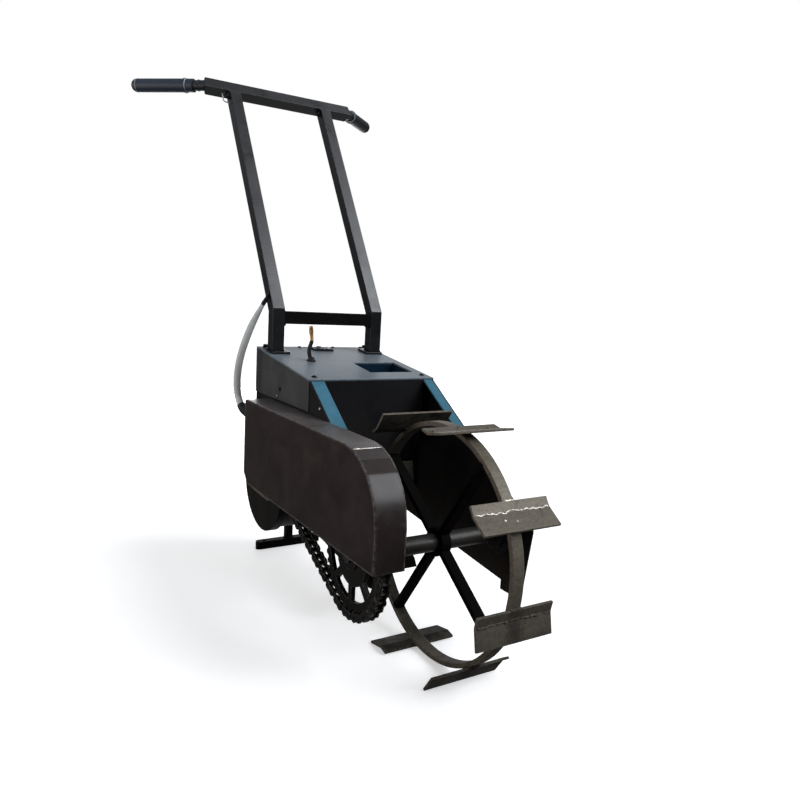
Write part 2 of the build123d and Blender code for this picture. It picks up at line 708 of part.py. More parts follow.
# Handlebar across the uprights, mitred at both ends to the grip stubs
bar_half_length = BAR_LENGTH / 2
mitre_plane = {}
for turn in (-1, 1):
    half_sweep = radians(GRIP_SWEEP) / 2
    mitre_plane[turn] = Plane(
        origin=place(HANDLE_BACK, turn * bar_half_length, HANDLE_RISE),
        z_dir=(-sin(half_sweep), turn * cos(half_sweep), 0),
    )
with BuildPart() as bar:
    with BuildSketch(side(bar_half_length + TUBE)):
        with Locations(Location((-HANDLE_BACK, HANDLE_RISE), degrees(LEAN))):
            Rectangle(TUBE, TUBE)
    extrude(amount=BAR_LENGTH + 2 * TUBE)
    for turn in (-1, 1):
        split(bisect_by=mitre_plane[turn], keep=Keep.BOTTOM)
    chamfer(bar.faces().sort_by(Axis.Y)[0].edges(), BAR_END_EDGE)
    chamfer(bar.faces().sort_by(Axis.Y)[-1].edges(), BAR_END_EDGE)
save(bar, "handlebar")

# Grip stubs, throttle collar and grips, swept back from the handlebar's ends
for label, turn, grip_start, stub_length in (
    ("right", -1, RIGHT_GRIP_START, RIGHT_STUB),
    ("left", 1, NECK_LENGTH, LEFT_STUB),
):
    start = place(HANDLE_BACK, turn * bar_half_length, HANDLE_RISE)
    run = Vector(-GRIP_BACK, turn * GRIP_OUT, 0)
    with BuildPart() as stub:
        with BuildSketch(Plane(origin=start - run * TUBE, z_dir=run)):
            Circle(NECK_RADIUS)
        extrude(amount=stub_length + TUBE)
        split(bisect_by=mitre_plane[turn], keep=Keep.TOP)
    save(stub, label + "_grip_stub")
    profile = Plane(origin=start, x_dir=run, z_dir=(0, 0, 1))
    spin = Axis(start, run)
    if turn < 0:
        with BuildPart() as collar:
            with BuildSketch(profile):
                with Locations((NECK_LENGTH, NECK_RADIUS + FIT)):
                    Rectangle(
                        COLLAR_LENGTH,
                        COLLAR_RADIUS - NECK_RADIUS - FIT,
                        align=(Align.MIN, Align.MIN),
                    )
            revolve(axis=spin)
        save(collar, "throttle_collar")
    ring_end = grip_start + GRIP_RING_LENGTH
    with BuildPart() as grip:
        with BuildSketch(profile):
            with BuildLine():
                Polyline(
                    (stub_length + FIT, 0),
                    (stub_length + FIT, NECK_RADIUS + FIT),
                    (grip_start, NECK_RADIUS + FIT),
                    (grip_start, GRIP_RING_RADIUS),
                    (ring_end, GRIP_RING_RADIUS),
                    (ring_end, GRIP_RADIUS),
                    (stub_length, GRIP_RADIUS),
                )
                CenterArc((stub_length, 0), GRIP_RADIUS, 0, 90)
                Line((stub_length + GRIP_RADIUS, 0), (stub_length + FIT, 0))
            make_face()
        revolve(axis=spin)
    save(grip, "throttle_grip" if turn < 0 else "left_grip")

# Throttle wire: a small loop from the handlebar's underside into the right upright's side
upright_side = -(UPRIGHT_SPACING + TUBE) / 2
down = Vector(sin(LEAN), 0, -cos(LEAN))
bar_middle = place(HANDLE_BACK, 0, HANDLE_RISE)
wire_top = bar_middle + down * (TUBE / 2) + Vector(0, upright_side - WIRE_OUT, 0)
wire_end = bar_middle + down * (TUBE / 2 + WIRE_DROP) + Vector(0, upright_side, 0)
with BuildPart() as wire:
    with BuildLine() as wire_path:
        corner = wire_top + down * WIRE_DROP
        swing = min((wire_top - corner).length, (wire_end - corner).length) * CONDUIT_FILL
        FilletPolyline(wire_top, corner, wire_end, radius=swing)
    with BuildSketch(Plane(origin=wire_top, z_dir=down)):
        Circle(WIRE_RADIUS)
    sweep()
save(wire, "throttle_wire")

# Rear bracket, drawbar, clamp, shank and tool bar
with BuildPart() as bracket:
    with BuildSketch(Plane(origin=place(BOX_REAR_BACK, TOOL_SIDE, BRACKET_RISE), z_dir=(-1, 0, 0))):
        Rectangle(BRACKET_WIDTH, BRACKET_HEIGHT)
    extrude(amount=BRACKET_THICKNESS)
save(bracket, "tool_bracket")

bracket_back = BOX_REAR_BACK + BRACKET_THICKNESS
clamp_half = SHANK_SIZE / 2 + CLAMP_WALL
with BuildPart() as drawbar:
    with BuildSketch(Plane(origin=place(bracket_back, TOOL_SIDE, BRACKET_RISE), z_dir=(-1, 0, 0))):
        Rectangle(DRAWBAR_SIZE, DRAWBAR_SIZE)
    extrude(amount=SHANK_BACK - clamp_half - bracket_back)
save(drawbar, "drawbar")

with BuildPart() as clamp:
    with BuildSketch(Plane(origin=place(SHANK_BACK, TOOL_SIDE, BRACKET_RISE - CLAMP_HEIGHT / 2))):
        Rectangle(2 * clamp_half, 2 * clamp_half)
        Rectangle(SHANK_SIZE + 2 * FIT, SHANK_SIZE + 2 * FIT, mode=Mode.SUBTRACT)
    extrude(amount=CLAMP_HEIGHT)
save(clamp, "tool_clamp")

with BuildPart() as shank:
    with BuildSketch(Plane(origin=place(SHANK_BACK, TOOL_SIDE, TOOLBAR_SIZE - AXLE_HEIGHT))):
        Rectangle(SHANK_SIZE, SHANK_SIZE)
    extrude(amount=SHANK_TOP + AXLE_HEIGHT - TOOLBAR_SIZE)
save(shank, "tool_shank")

with BuildPart() as toolbar:
    with BuildSketch(Plane(origin=place(SHANK_BACK, TOOL_SIDE, -AXLE_HEIGHT))):
        SlotOverall(TOOLBAR_LENGTH, TOOLBAR_SIZE, rotation=90)
        with GridLocations(0, TOOLBAR_HOLE_SPACING, 1, 2):
            Circle(TOOLBAR_HOLE_RADIUS, mode=Mode.SUBTRACT)
    extrude(amount=TOOLBAR_SIZE)
save(toolbar, "tool_bar")

# Conduit: a bowed flexible tube from the right upright to the chain cover's rear wall.
# Columns: behind the cover's rear wall, out from the right panel, above the axle.
CONDUIT_ROUTE = [
    (43, 8.8, 357),
    (47, 20.8, 333),
    (55, 32.8, 297),
    (65, 41.8, 257),
    (74, 44.8, 217),
    (78, 42.8, 180),
    (65, 39.8, 157),
    (42, 36.8, 143),
    (17, 34.8, 142),
]
route = [place(COVER_REAR_BACK + back, -PANEL_OUT - out, rise) for back, out, rise in CONDUIT_ROUTE]
radii = []
for before, corner, after in zip(route, route[1:], route[2:]):
    turn_angle = (corner - before).get_angle(after - corner)
    shorter = min((corner - before).length, (after - corner).length)
    radii.append(CONDUIT_FILL * shorter / tan(radians(turn_angle) / 2))
leave = (route[1] - route[0]).normalized()
arrive = (route[-1] - route[-2]).normalized()
with BuildPart() as conduit:
    with BuildLine():
        FilletPolyline(*route, radius=radii)
    with BuildSketch(Plane(origin=route[0], z_dir=leave)):
        Circle(CONDUIT_RADIUS)
    sweep()
save(conduit, "conduit")

# Glands at the conduit's two ends, each cut flush with what it stands on
upright_face = place(0, upright_side, 0)
gland_length = (route[0].Y - upright_face.Y) / leave.Y
with BuildPart() as upper_gland:
    with BuildSketch(Plane(origin=route[0], z_dir=-leave)):
        Circle(CONDUIT_RADIUS)
    extrude(amount=gland_length + CONDUIT_RADIUS, taper=UPPER_GLAND_TAPER)
    split(bisect_by=Plane(origin=upright_face, z_dir=(0, -1, 0)), keep=Keep.TOP)
save(upper_gland, "upper_gland")

cover_rear = AXLE_AHEAD - COVER_REAR_BACK
with BuildPart() as lower_gland:
    with BuildSketch(Plane(origin=route[-1], z_dir=arrive)):
        Circle(LOWER_GLAND_RADIUS)
    extrude(amount=cover_rear - route[-1].X + LOWER_GLAND_RADIUS)
    split(bisect_by=Plane(origin=(cover_rear, 0, 0), z_dir=(-1, 0, 0)), keep=Keep.TOP)
save(lower_gland, "lower_gland")
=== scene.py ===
"""Looks of a battery mini tiller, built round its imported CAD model."""

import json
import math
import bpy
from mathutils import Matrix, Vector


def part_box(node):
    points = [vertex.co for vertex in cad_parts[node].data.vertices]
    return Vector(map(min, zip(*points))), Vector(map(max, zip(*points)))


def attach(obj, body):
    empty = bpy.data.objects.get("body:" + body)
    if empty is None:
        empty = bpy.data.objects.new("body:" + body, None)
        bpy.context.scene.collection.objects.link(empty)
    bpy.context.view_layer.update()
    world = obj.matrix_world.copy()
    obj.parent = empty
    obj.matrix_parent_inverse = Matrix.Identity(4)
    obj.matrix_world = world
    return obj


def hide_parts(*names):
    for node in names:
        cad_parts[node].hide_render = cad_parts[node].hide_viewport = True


bl_info = {
    "name": "Battery mini tiller",
    "version": (1, 0, 0),
    "blender": (4, 5, 0),
    "location": "View3D > Sidebar > Tiller",
    "description": "Finishes, fasteners, welds, chain pins, conduit and studio of a battery mini tiller",
    "category": "Object",
}

import bmesh
import bpy
from mathutils import Matrix, Vector, noise

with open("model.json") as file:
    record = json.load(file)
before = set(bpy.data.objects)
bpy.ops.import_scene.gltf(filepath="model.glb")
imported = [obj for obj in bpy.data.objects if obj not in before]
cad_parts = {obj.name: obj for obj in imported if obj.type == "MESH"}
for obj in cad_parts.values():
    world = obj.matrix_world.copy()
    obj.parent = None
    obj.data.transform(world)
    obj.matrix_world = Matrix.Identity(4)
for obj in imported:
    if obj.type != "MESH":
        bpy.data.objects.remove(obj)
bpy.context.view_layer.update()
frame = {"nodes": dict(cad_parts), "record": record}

# Places that the CAD model gives: the wheel's middle, the panels' faces and the chain's plane
AXLE_LOW, AXLE_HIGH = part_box("axle")
LUGS_LOW, LUGS_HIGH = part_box("lugs")
CHAIN_LOW, CHAIN_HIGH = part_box("chain")
HUB = Vector((
    (AXLE_LOW.x + AXLE_HIGH.x) / 2,
    (LUGS_LOW.y + LUGS_HIGH.y) / 2,
    (AXLE_LOW.z + AXLE_HIGH.z) / 2,
))
PANEL_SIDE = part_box("right_side_panel")[0].y
LEFT_PANEL_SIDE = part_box("left_side_panel")[1].y

# Sizes and angles of the CAD model that the added pieces follow, in millimetres and radians
TOP_REAR_BACK = 510
TOP_REAR_RISE = 276.4
TOP_SLOPE = math.radians(7.678)
TOP_NORMAL = Vector((math.sin(TOP_SLOPE), 0, math.cos(TOP_SLOPE)))
WALL_SIDE = 134.7
POST_BACK = 457
POST_SIDE = 113.5
HALF_TUBE = 12.7
CROSSBAR_RISE = 341
HANDLE_BACK = 764
HANDLE_RISE = 842
LEAN = math.radians(32.28)
BAR_HALF = 180
GRIP_SWEEP = math.radians(42)
TOOL_SIDE = -15
BRACKET_BACK = 516
CLAMP_BACK = 607
DRAWBAR_RISE = 165

# Where the rim's weld has burnt the lugs: its radius from the axle, how far its edge frays, and how far it
# reaches, from where it starts to where it is full, in metres
STAIN_RADIUS = 0.2085
STAIN_FRAY = 0.016
STAIN_REACH = (0.029, 0.014)

# Heights in metres between which the finishes grow darker towards the bottom, the panels' dried soil and the
# wheel steel's darkening change from one end to the other
LOW_DARKENING_HEIGHTS = (0.18, 0.42)
PANEL_SOIL_HEIGHTS = (0.14, 0.42)
WHEEL_DARKENING_HEIGHTS = (0.25, 0.08)

# Cosines between which dust lies on a face that looks up, a face that looks to the axle is darkened as
# painted shade, and a softened edge is worn and painted lighter as a highlight
LYING_FACES = (0.88, 0.99)
AXLE_FACES = (-0.35, -0.85)
RUBBED_AND_HIGHLIT_EDGES = (0.99, 0.84)

# Corners of a square section, in order round it
CORNERS = ((-1, -1), (-1, 1), (1, 1), (1, -1))

# Colours of what lies on the finishes or shows through them; the wheel steel's darkening colour is also
# painted shade, and its worn edge colour also a painted highlight
DUST = "8c8a88"
DRIED_SOIL = "4a3d31"
# Darkens the wheel's steel towards the bottom, and is painted shade on its faces that look to the axle
DARKENING_AND_SHADE = "16130e"
BURNT_STEEL = "160c05"
RUBBED_AND_HIGHLIT_STEEL = "9a9285"


def linear(hex_colour):
    """Linear RGBA of an sRGB hex colour."""
    channels = [int(hex_colour[start : start + 2], 16) / 255 for start in (0, 2, 4)]
    return [c / 12.92 if c <= 0.04045 else ((c + 0.055) / 1.055) ** 2.4 for c in channels] + [1.0]


def at(back, out, rise):
    """Point in metres, from its place behind, left of and above the wheel's middle in millimetres."""
    return HUB + Vector((-back, out, rise)) / 1000


def on_top(back, out, lift=0):
    """Point on the sloped top plate, or above it by a lift, from its place in millimetres."""
    rise = TOP_REAR_RISE - (TOP_REAR_BACK - back) * math.tan(TOP_SLOPE)
    return at(back, out, rise) + TOP_NORMAL * lift / 1000


class TillerColours(bpy.types.PropertyGroup):
    """Paints and materials that a user would change."""

    handle: bpy.props.FloatVectorProperty(
        name="Handle", description="Powder coat of the handle tubes",
        subtype="COLOR", size=4, min=0, max=1, default=linear("0c0e11"))
    top: bpy.props.FloatVectorProperty(
        name="Top plate", description="Powder coat of the sloped top plate",
        subtype="COLOR", size=4, min=0, max=1, default=linear("626d76"))
    # The flanges' paint is blue-grey; the teal in this colour is painted sky light
    flange: bpy.props.FloatVectorProperty(
        name="Flanges", description="Enamel of the sloping front flanges",
        subtype="COLOR", size=4, min=0, max=1, default=linear("3e7388"))
    tray: bpy.props.FloatVectorProperty(
        name="Recess", description="Enamel of the recess tray",
        subtype="COLOR", size=4, min=0, max=1, default=linear("12283a"))
    box: bpy.props.FloatVectorProperty(
        name="Box sides", description="Powder coat of the box sides",
        subtype="COLOR", size=4, min=0, max=1, default=linear("3e3f40"))
    # Near black powder coat, darkened further as painted shade for the inside of the box
    panel: bpy.props.FloatVectorProperty(
        name="Panels", description="Powder coat of the side panels and the bulkhead",
        subtype="COLOR", size=4, min=0, max=1, default=linear("111114"))
    cover: bpy.props.FloatVectorProperty(
        name="Chain cover", description="Gloss paint of the chain cover",
        subtype="COLOR", size=4, min=0, max=1, default=linear("2f2624"))
    black: bpy.props.FloatVectorProperty(
        name="Black paint", description="Satin black of the motor, crossbar and tool bar",
        subtype="COLOR", size=4, min=0, max=1, default=linear("0d0c0b"))
    steel: bpy.props.FloatVectorProperty(
        name="Wheel steel", description="Worn steel of the rim and its lugs",
        subtype="COLOR", size=4, min=0, max=1, default=linear("665f53"))
    rust: bpy.props.FloatVectorProperty(
        name="Rust", description="Rust on the wheel's steel",
        subtype="COLOR", size=4, min=0, max=1, default=linear("382617"))
    conduit: bpy.props.FloatVectorProperty(
        name="Conduit", description="PVC of the conduit",
        subtype="COLOR", size=4, min=0, max=1, default=linear("c4c6c5"))


class TillerSizes(bpy.types.PropertyGroup):
    """Sizes of the fittings that the scene adds."""

    conduit: bpy.props.FloatProperty(
        name="Conduit radius", description="Outer radius of the conduit",
        subtype="DISTANCE", unit="LENGTH", default=0.0075, min=0.001)
    weld: bpy.props.FloatProperty(
        name="Wheel weld radius", description="Radius of the weld beads on the wheel",
        subtype="DISTANCE", unit="LENGTH", default=0.0017, min=0.0005)
    fillet: bpy.props.FloatProperty(
        name="Frame weld radius", description="Radius of the painted weld beads on the handle and tool bar",
        subtype="DISTANCE", unit="LENGTH", default=0.003, min=0.0005)
    pin: bpy.props.FloatProperty(
        name="Chain pin radius", description="Radius of the chain's pin heads",
        subtype="DISTANCE", unit="LENGTH", default=0.0026, min=0.0005)
    floor: bpy.props.FloatProperty(
        name="Floor", description="Half width of the studio floor",
        subtype="DISTANCE", unit="LENGTH", default=60, min=2)


def add_node(tree, kind, inputs=(), **settings):
    """Add a shader node with its settings, and give its sockets their values or links.

    A node that is given as a value is linked by its first output in use.
    """
    made = tree.nodes.new(kind)
    for name, value in settings.items():
        setattr(made, name, value)
    for name, value in dict(inputs).items():
        if isinstance(value, bpy.types.Node):
            value = next(socket for socket in value.outputs if socket.enabled)
        if isinstance(value, bpy.types.NodeSocket):
            tree.links.new(value, made.inputs[name])
        else:
            made.inputs[name].default_value = value
    return made


def per_mm(size):
    """Texture scale that gives a pattern of this size in millimetres."""
    return 1000 / size


def new_material(name):
    """Empty node material, its tree and the object's own coordinates in metres."""
    material = bpy.data.materials.new(name)
    material.use_nodes = True
    tree = material.node_tree
    tree.nodes.clear()
    coordinates = add_node(tree, "ShaderNodeTexCoord").outputs["Object"]
    return material, tree, coordinates


def edge_wear_and_highlight(tree, radius, breakup):
    """Softened normal of the sheet's edges, and a broken mask of where they are worn bare and painted lighter
    as a highlight.
    """
    soft = add_node(tree, "ShaderNodeBevel", {"Radius": radius / 1000}, samples=6)
    flat = add_node(tree, "ShaderNodeNewGeometry").outputs["Normal"]
    bend = add_node(tree, "ShaderNodeVectorMath", {0: soft, 1: flat}, operation="DOT_PRODUCT")
    edge = add_node(
        tree, "ShaderNodeMapRange",
        {"Value": bend, "From Min": RUBBED_AND_HIGHLIT_EDGES[0], "From Max": RUBBED_AND_HIGHLIT_EDGES[1]})
    gaps = add_node(tree, "ShaderNodeMapRange", {"Value": breakup, "From Min": 0.4, "From Max": 0.62})
    mask = add_node(tree, "ShaderNodeMath", {0: edge, 1: gaps}, operation="MULTIPLY")
    return soft, mask


def coated_steel(name, colour, roughness, specular, bend, dust, wear, bare, soil):
    """Powder-coated, enamelled or painted steel sheet and tube, and painted castings.

    The eye sees a fine orange peel, faint clouding, soft bends, worn edges that are also painted lighter as a
    highlight, scuffs, dust on what faces up, a darkening towards the bottom and dried soil in patches on the
    black panels.
    """
    material, tree, coordinates = new_material(name)
    # Orange peel is about 1 mm; it is drawn at 2 mm, so that it shows at the render's size
    peel = add_node(tree, "ShaderNodeTexNoise", {"Vector": coordinates, "Scale": per_mm(2), "Detail": 2})
    cloud = add_node(
        tree, "ShaderNodeTexNoise",
        {"Vector": coordinates, "Scale": per_mm(60), "Detail": 6, "Roughness": 0.6, "Distortion": 0.7})
    fleck = add_node(
        tree, "ShaderNodeTexNoise",
        {"Vector": coordinates, "Scale": per_mm(9), "Detail": 8, "Roughness": 0.75, "Distortion": 0.6})
    soft, edge = edge_wear_and_highlight(tree, bend, fleck)
    height = add_node(tree, "ShaderNodeSeparateXYZ", {"Vector": coordinates})
    # Darker towards the bottom
    low_darkening = add_node(
        tree, "ShaderNodeMapRange",
        {"Value": height.outputs["Z"], "From Min": LOW_DARKENING_HEIGHTS[0], "From Max": LOW_DARKENING_HEIGHTS[1],
         "To Min": -0.35, "To Max": 0.0})
    patchy = add_node(
        tree, "ShaderNodeMapRange",
        {"Value": cloud, "From Min": 0.3, "From Max": 0.7, "To Min": 0.76, "To Max": 1.24})
    shade = add_node(tree, "ShaderNodeMath", {0: patchy, 1: low_darkening}, operation="ADD")
    tint = add_node(
        tree, "ShaderNodeMix", {"Factor": 1.0, "A": colour, "B": shade},
        data_type="RGBA", blend_type="MULTIPLY")
    flat = add_node(tree, "ShaderNodeNewGeometry").outputs["Normal"]
    upward = add_node(tree, "ShaderNodeSeparateXYZ", {"Vector": flat})
    lying = add_node(
        tree, "ShaderNodeMapRange",
        {"Value": upward.outputs["Z"], "From Min": LYING_FACES[0], "From Max": LYING_FACES[1],
         "To Min": 0.25, "To Max": 1.0})
    scratch = add_node(
        tree, "ShaderNodeMapRange",
        {"Value": fleck, "From Min": 0.6, "From Max": 0.72, "To Min": 0.0, "To Max": wear * 0.7})
    scuff = add_node(tree, "ShaderNodeMath", {0: scratch, 1: lying}, operation="MULTIPLY")
    # Edges are painted lighter, as wear and as a painted highlight where they catch the light
    chipped_and_highlit = add_node(tree, "ShaderNodeMath", {0: edge, 1: wear}, operation="MULTIPLY")
    rubbed_and_highlit = add_node(tree, "ShaderNodeMath", {0: scuff, 1: chipped_and_highlit}, operation="MAXIMUM")
    worn = add_node(tree, "ShaderNodeMix", {"Factor": rubbed_and_highlit, "A": tint, "B": bare}, data_type="RGBA")
    film = add_node(
        tree, "ShaderNodeMapRange",
        {"Value": lying, "From Min": 0.25, "From Max": 1.0, "To Min": 0.0, "To Max": dust})
    settled = add_node(tree, "ShaderNodeMath", {0: film, 1: cloud}, operation="MULTIPLY")
    dusty = add_node(
        tree, "ShaderNodeMix", {"Factor": settled, "A": worn, "B": linear(DUST)}, data_type="RGBA")
    low = add_node(
        tree, "ShaderNodeMapRange",
        {"Value": height.outputs["Z"],
         "From Min": PANEL_SOIL_HEIGHTS[0], "From Max": PANEL_SOIL_HEIGHTS[1], "To Min": soil, "To Max": 0.0})
    patch = add_node(tree, "ShaderNodeMapRange", {"Value": cloud, "From Min": 0.36, "From Max": 0.66})
    dried = add_node(tree, "ShaderNodeMath", {0: low, 1: patch}, operation="MULTIPLY")
    soiled = add_node(
        tree, "ShaderNodeMix", {"Factor": dried, "A": dusty, "B": linear(DRIED_SOIL)}, data_type="RGBA")
    sheen = add_node(
        tree, "ShaderNodeMapRange",
        {"Value": cloud, "From Min": 0.3, "From Max": 0.7,
         "To Min": roughness - 0.05, "To Max": roughness + 0.07})
    bump = add_node(
        tree, "ShaderNodeBump", {"Height": peel, "Strength": 0.1, "Distance": 0.0004, "Normal": soft})
    shader = add_node(
        tree, "ShaderNodeBsdfPrincipled",
        {"Base Color": soiled, "Roughness": sheen, "Normal": bump, "Specular IOR Level": specular})
    add_node(tree, "ShaderNodeOutputMaterial", {"Surface": shader})
    return material


def worn_steel(name, colour, rust, metallic, roughness, specular, soil, stain):
    """Bare mild steel that has worked in soil.

    The eye sees brown-grey metal with faint streaks, rust spots, worn edges lightened further as a painted
    highlight, a darkening towards the bottom, painted shade on what faces the axle, and a burnt stain over
    the weld behind.
    """
    material, tree, coordinates = new_material(name)
    blotch = add_node(
        tree, "ShaderNodeTexNoise",
        {"Vector": coordinates, "Scale": per_mm(38), "Detail": 9, "Roughness": 0.62, "Distortion": 0.4})
    pit = add_node(tree, "ShaderNodeTexNoise", {"Vector": coordinates, "Scale": per_mm(4), "Detail": 6})
    streak_space = add_node(tree, "ShaderNodeMapping", {"Vector": coordinates, "Scale": (1.0, 0.1, 1.0)})
    streak = add_node(
        tree, "ShaderNodeTexNoise",
        {"Vector": streak_space, "Scale": per_mm(5), "Detail": 5, "Roughness": 0.65})
    soft, edge = edge_wear_and_highlight(tree, 1.4, pit)
    rusted = add_node(
        tree, "ShaderNodeMapRange",
        {"Value": blotch, "From Min": 0.58, "From Max": 0.74, "To Min": 0.0, "To Max": 0.7})
    pale = add_node(
        tree, "ShaderNodeMapRange",
        {"Value": streak, "From Min": 0.35, "From Max": 0.68, "To Min": 0.88, "To Max": 1.12})
    streaked = add_node(
        tree, "ShaderNodeMix", {"Factor": 1.0, "A": colour, "B": pale},
        data_type="RGBA", blend_type="MULTIPLY")
    stained = add_node(
        tree, "ShaderNodeMix", {"Factor": rusted, "A": streaked, "B": rust}, data_type="RGBA")
    height = add_node(tree, "ShaderNodeSeparateXYZ", {"Vector": coordinates})
    # Darker towards the bottom
    low = add_node(
        tree, "ShaderNodeMapRange",
        {"Value": height.outputs["Z"],
         "From Min": WHEEL_DARKENING_HEIGHTS[0], "From Max": WHEEL_DARKENING_HEIGHTS[1], "To Min": 0.0, "To Max": soil})
    darkening_breakup = add_node(
        tree, "ShaderNodeMapRange",
        {"Value": blotch, "From Min": 0.32, "From Max": 0.66, "To Min": 1.0, "To Max": 0.5})
    arm = add_node(tree, "ShaderNodeVectorMath", {0: coordinates, 1: HUB}, operation="SUBTRACT")
    spread = add_node(tree, "ShaderNodeVectorMath", {0: arm, 1: (1, 0, 1)}, operation="MULTIPLY")
    outward = add_node(tree, "ShaderNodeVectorMath", {0: spread}, operation="NORMALIZE")
    # Faces that look in to the axle are darkened with that colour: painted shade inside the wheel
    own_normal = add_node(tree, "ShaderNodeTexCoord").outputs["Normal"]
    facing_out = add_node(
        tree, "ShaderNodeVectorMath", {0: outward, 1: own_normal}, operation="DOT_PRODUCT")
    inside = add_node(
        tree, "ShaderNodeMapRange",
        {"Value": facing_out, "From Min": AXLE_FACES[0], "From Max": AXLE_FACES[1],
         "To Min": 0.0, "To Max": soil * 1.2})
    # Darker towards the bottom, and painted shade on faces to the axle, broken up in patches; film and soiled
    # here carry both
    deepest = add_node(tree, "ShaderNodeMath", {0: low, 1: inside}, operation="MAXIMUM")
    film = add_node(tree, "ShaderNodeMath", {0: deepest, 1: darkening_breakup}, operation="MULTIPLY")
    soiled = add_node(
        tree, "ShaderNodeMix", {"Factor": film, "A": stained, "B": linear(DARKENING_AND_SHADE)}, data_type="RGBA")
    radial = add_node(tree, "ShaderNodeVectorMath", {0: spread}, operation="LENGTH")
    down = add_node(tree, "ShaderNodeMath", {0: radial, 1: STAIN_RADIUS}, operation="SUBTRACT")
    beside = add_node(tree, "ShaderNodeSeparateXYZ", {"Vector": arm})
    reach = add_node(tree, "ShaderNodeCombineXYZ", {"X": down, "Y": beside.outputs["Y"]})
    away = add_node(tree, "ShaderNodeVectorMath", {0: reach}, operation="LENGTH")
    ragged = add_node(tree, "ShaderNodeMath", {0: pit, 1: STAIN_FRAY, 2: away}, operation="MULTIPLY_ADD")
    behind = add_node(
        tree, "ShaderNodeMapRange",
        {"Value": ragged, "From Min": STAIN_REACH[0], "From Max": STAIN_REACH[1],
         "To Min": 0.0, "To Max": stain})
    burn = add_node(tree, "ShaderNodeMath", {0: behind, 1: low}, operation="MULTIPLY")
    burnt = add_node(
        tree, "ShaderNodeMix", {"Factor": burn, "A": soiled, "B": linear(BURNT_STEEL)}, data_type="RGBA")
    shade = add_node(
        tree, "ShaderNodeMapRange",
        {"Value": pit, "From Min": 0.35, "From Max": 0.65, "To Min": 0.82, "To Max": 1.12})
    pitted = add_node(
        tree, "ShaderNodeMix", {"Factor": 1.0, "A": burnt, "B": shade},
        data_type="RGBA", blend_type="MULTIPLY")
    # Edges are lightened, as wear and as a painted highlight where they catch the light
    bright = add_node(tree, "ShaderNodeMath", {0: edge, 1: 0.7}, operation="MULTIPLY")
    rubbed_and_highlit = add_node(
        tree, "ShaderNodeMix", {"Factor": bright, "A": pitted, "B": linear(RUBBED_AND_HIGHLIT_STEEL)}, data_type="RGBA")
    covered = add_node(tree, "ShaderNodeMath", {0: rusted, 1: film}, operation="MAXIMUM")
    bare = add_node(
        tree, "ShaderNodeMapRange",
        {"Value": covered, "From Min": 0.0, "From Max": 0.8, "To Min": metallic, "To Max": 0.05})
    dull = add_node(
        tree, "ShaderNodeMapRange",
        {"Value": covered, "From Min": 0.0, "From Max": 0.8, "To Min": roughness, "To Max": 0.85})
    bump = add_node(
        tree, "ShaderNodeBump", {"Height": pit, "Strength": 0.25, "Distance": 0.0006, "Normal": soft})
    shader = add_node(
        tree, "ShaderNodeBsdfPrincipled",
        {"Base Color": rubbed_and_highlit, "Metallic": bare, "Roughness": dull, "Normal": bump,
         "Specular IOR Level": specular})
    add_node(tree, "ShaderNodeOutputMaterial", {"Surface": shader})
    return material


def moulded(name, colour, roughness, specular, grain):
    """Moulded rubber, ABS, PVC, polypropylene or acrylic.

    The eye sees an even colour with a fine matt grain and slight clouding from handling.
    """
    material, tree, coordinates = new_material(name)
    # The mould's grain is well under 1 mm; it is drawn at 1 to 2 mm, so that it shows at the render's size
    fine = add_node(tree, "ShaderNodeTexNoise", {"Vector": coordinates, "Scale": per_mm(grain), "Detail": 3})
    cloud = add_node(tree, "ShaderNodeTexNoise", {"Vector": coordinates, "Scale": per_mm(30), "Detail": 4})
    shade = add_node(
        tree, "ShaderNodeMapRange",
        {"Value": cloud, "From Min": 0.3, "From Max": 0.7, "To Min": 0.84, "To Max": 1.12})
    tint = add_node(
        tree, "ShaderNodeMix", {"Factor": 1.0, "A": colour, "B": shade},
        data_type="RGBA", blend_type="MULTIPLY")
    bump = add_node(tree, "ShaderNodeBump", {"Height": fine, "Strength": 0.2, "Distance": 0.0004})
    shader = add_node(
        tree, "ShaderNodeBsdfPrincipled",
        {"Base Color": tint, "Roughness": roughness, "Normal": bump, "Specular IOR Level": specular})
    add_node(tree, "ShaderNodeOutputMaterial", {"Surface": shader})
    return material


def plated(name, colour, roughness):
    """Zinc plate, bright or black, and brass.

    The eye sees metal with a soft brushed sheen and darker tarnish in patches.
    """
    material, tree, coordinates = new_material(name)
    tarnish = add_node(tree, "ShaderNodeTexNoise", {"Vector": coordinates, "Scale": per_mm(8), "Detail": 6})
    shade = add_node(
        tree, "ShaderNodeMapRange",
        {"Value": tarnish, "From Min": 0.3, "From Max": 0.7, "To Min": 0.55, "To Max": 1.1})
    tint = add_node(
        tree, "ShaderNodeMix", {"Factor": 1.0, "A": colour, "B": shade},
        data_type="RGBA", blend_type="MULTIPLY")
    sheen = add_node(
        tree, "ShaderNodeMapRange",
        {"Value": tarnish, "From Min": 0.3, "From Max": 0.7,
         "To Min": roughness + 0.15, "To Max": roughness})
    shader = add_node(
        tree, "ShaderNodeBsdfPrincipled", {"Base Color": tint, "Roughness": sheen, "Metallic": 1.0})
    add_node(tree, "ShaderNodeOutputMaterial", {"Surface": shader})
    return material


MATERIALS = {}


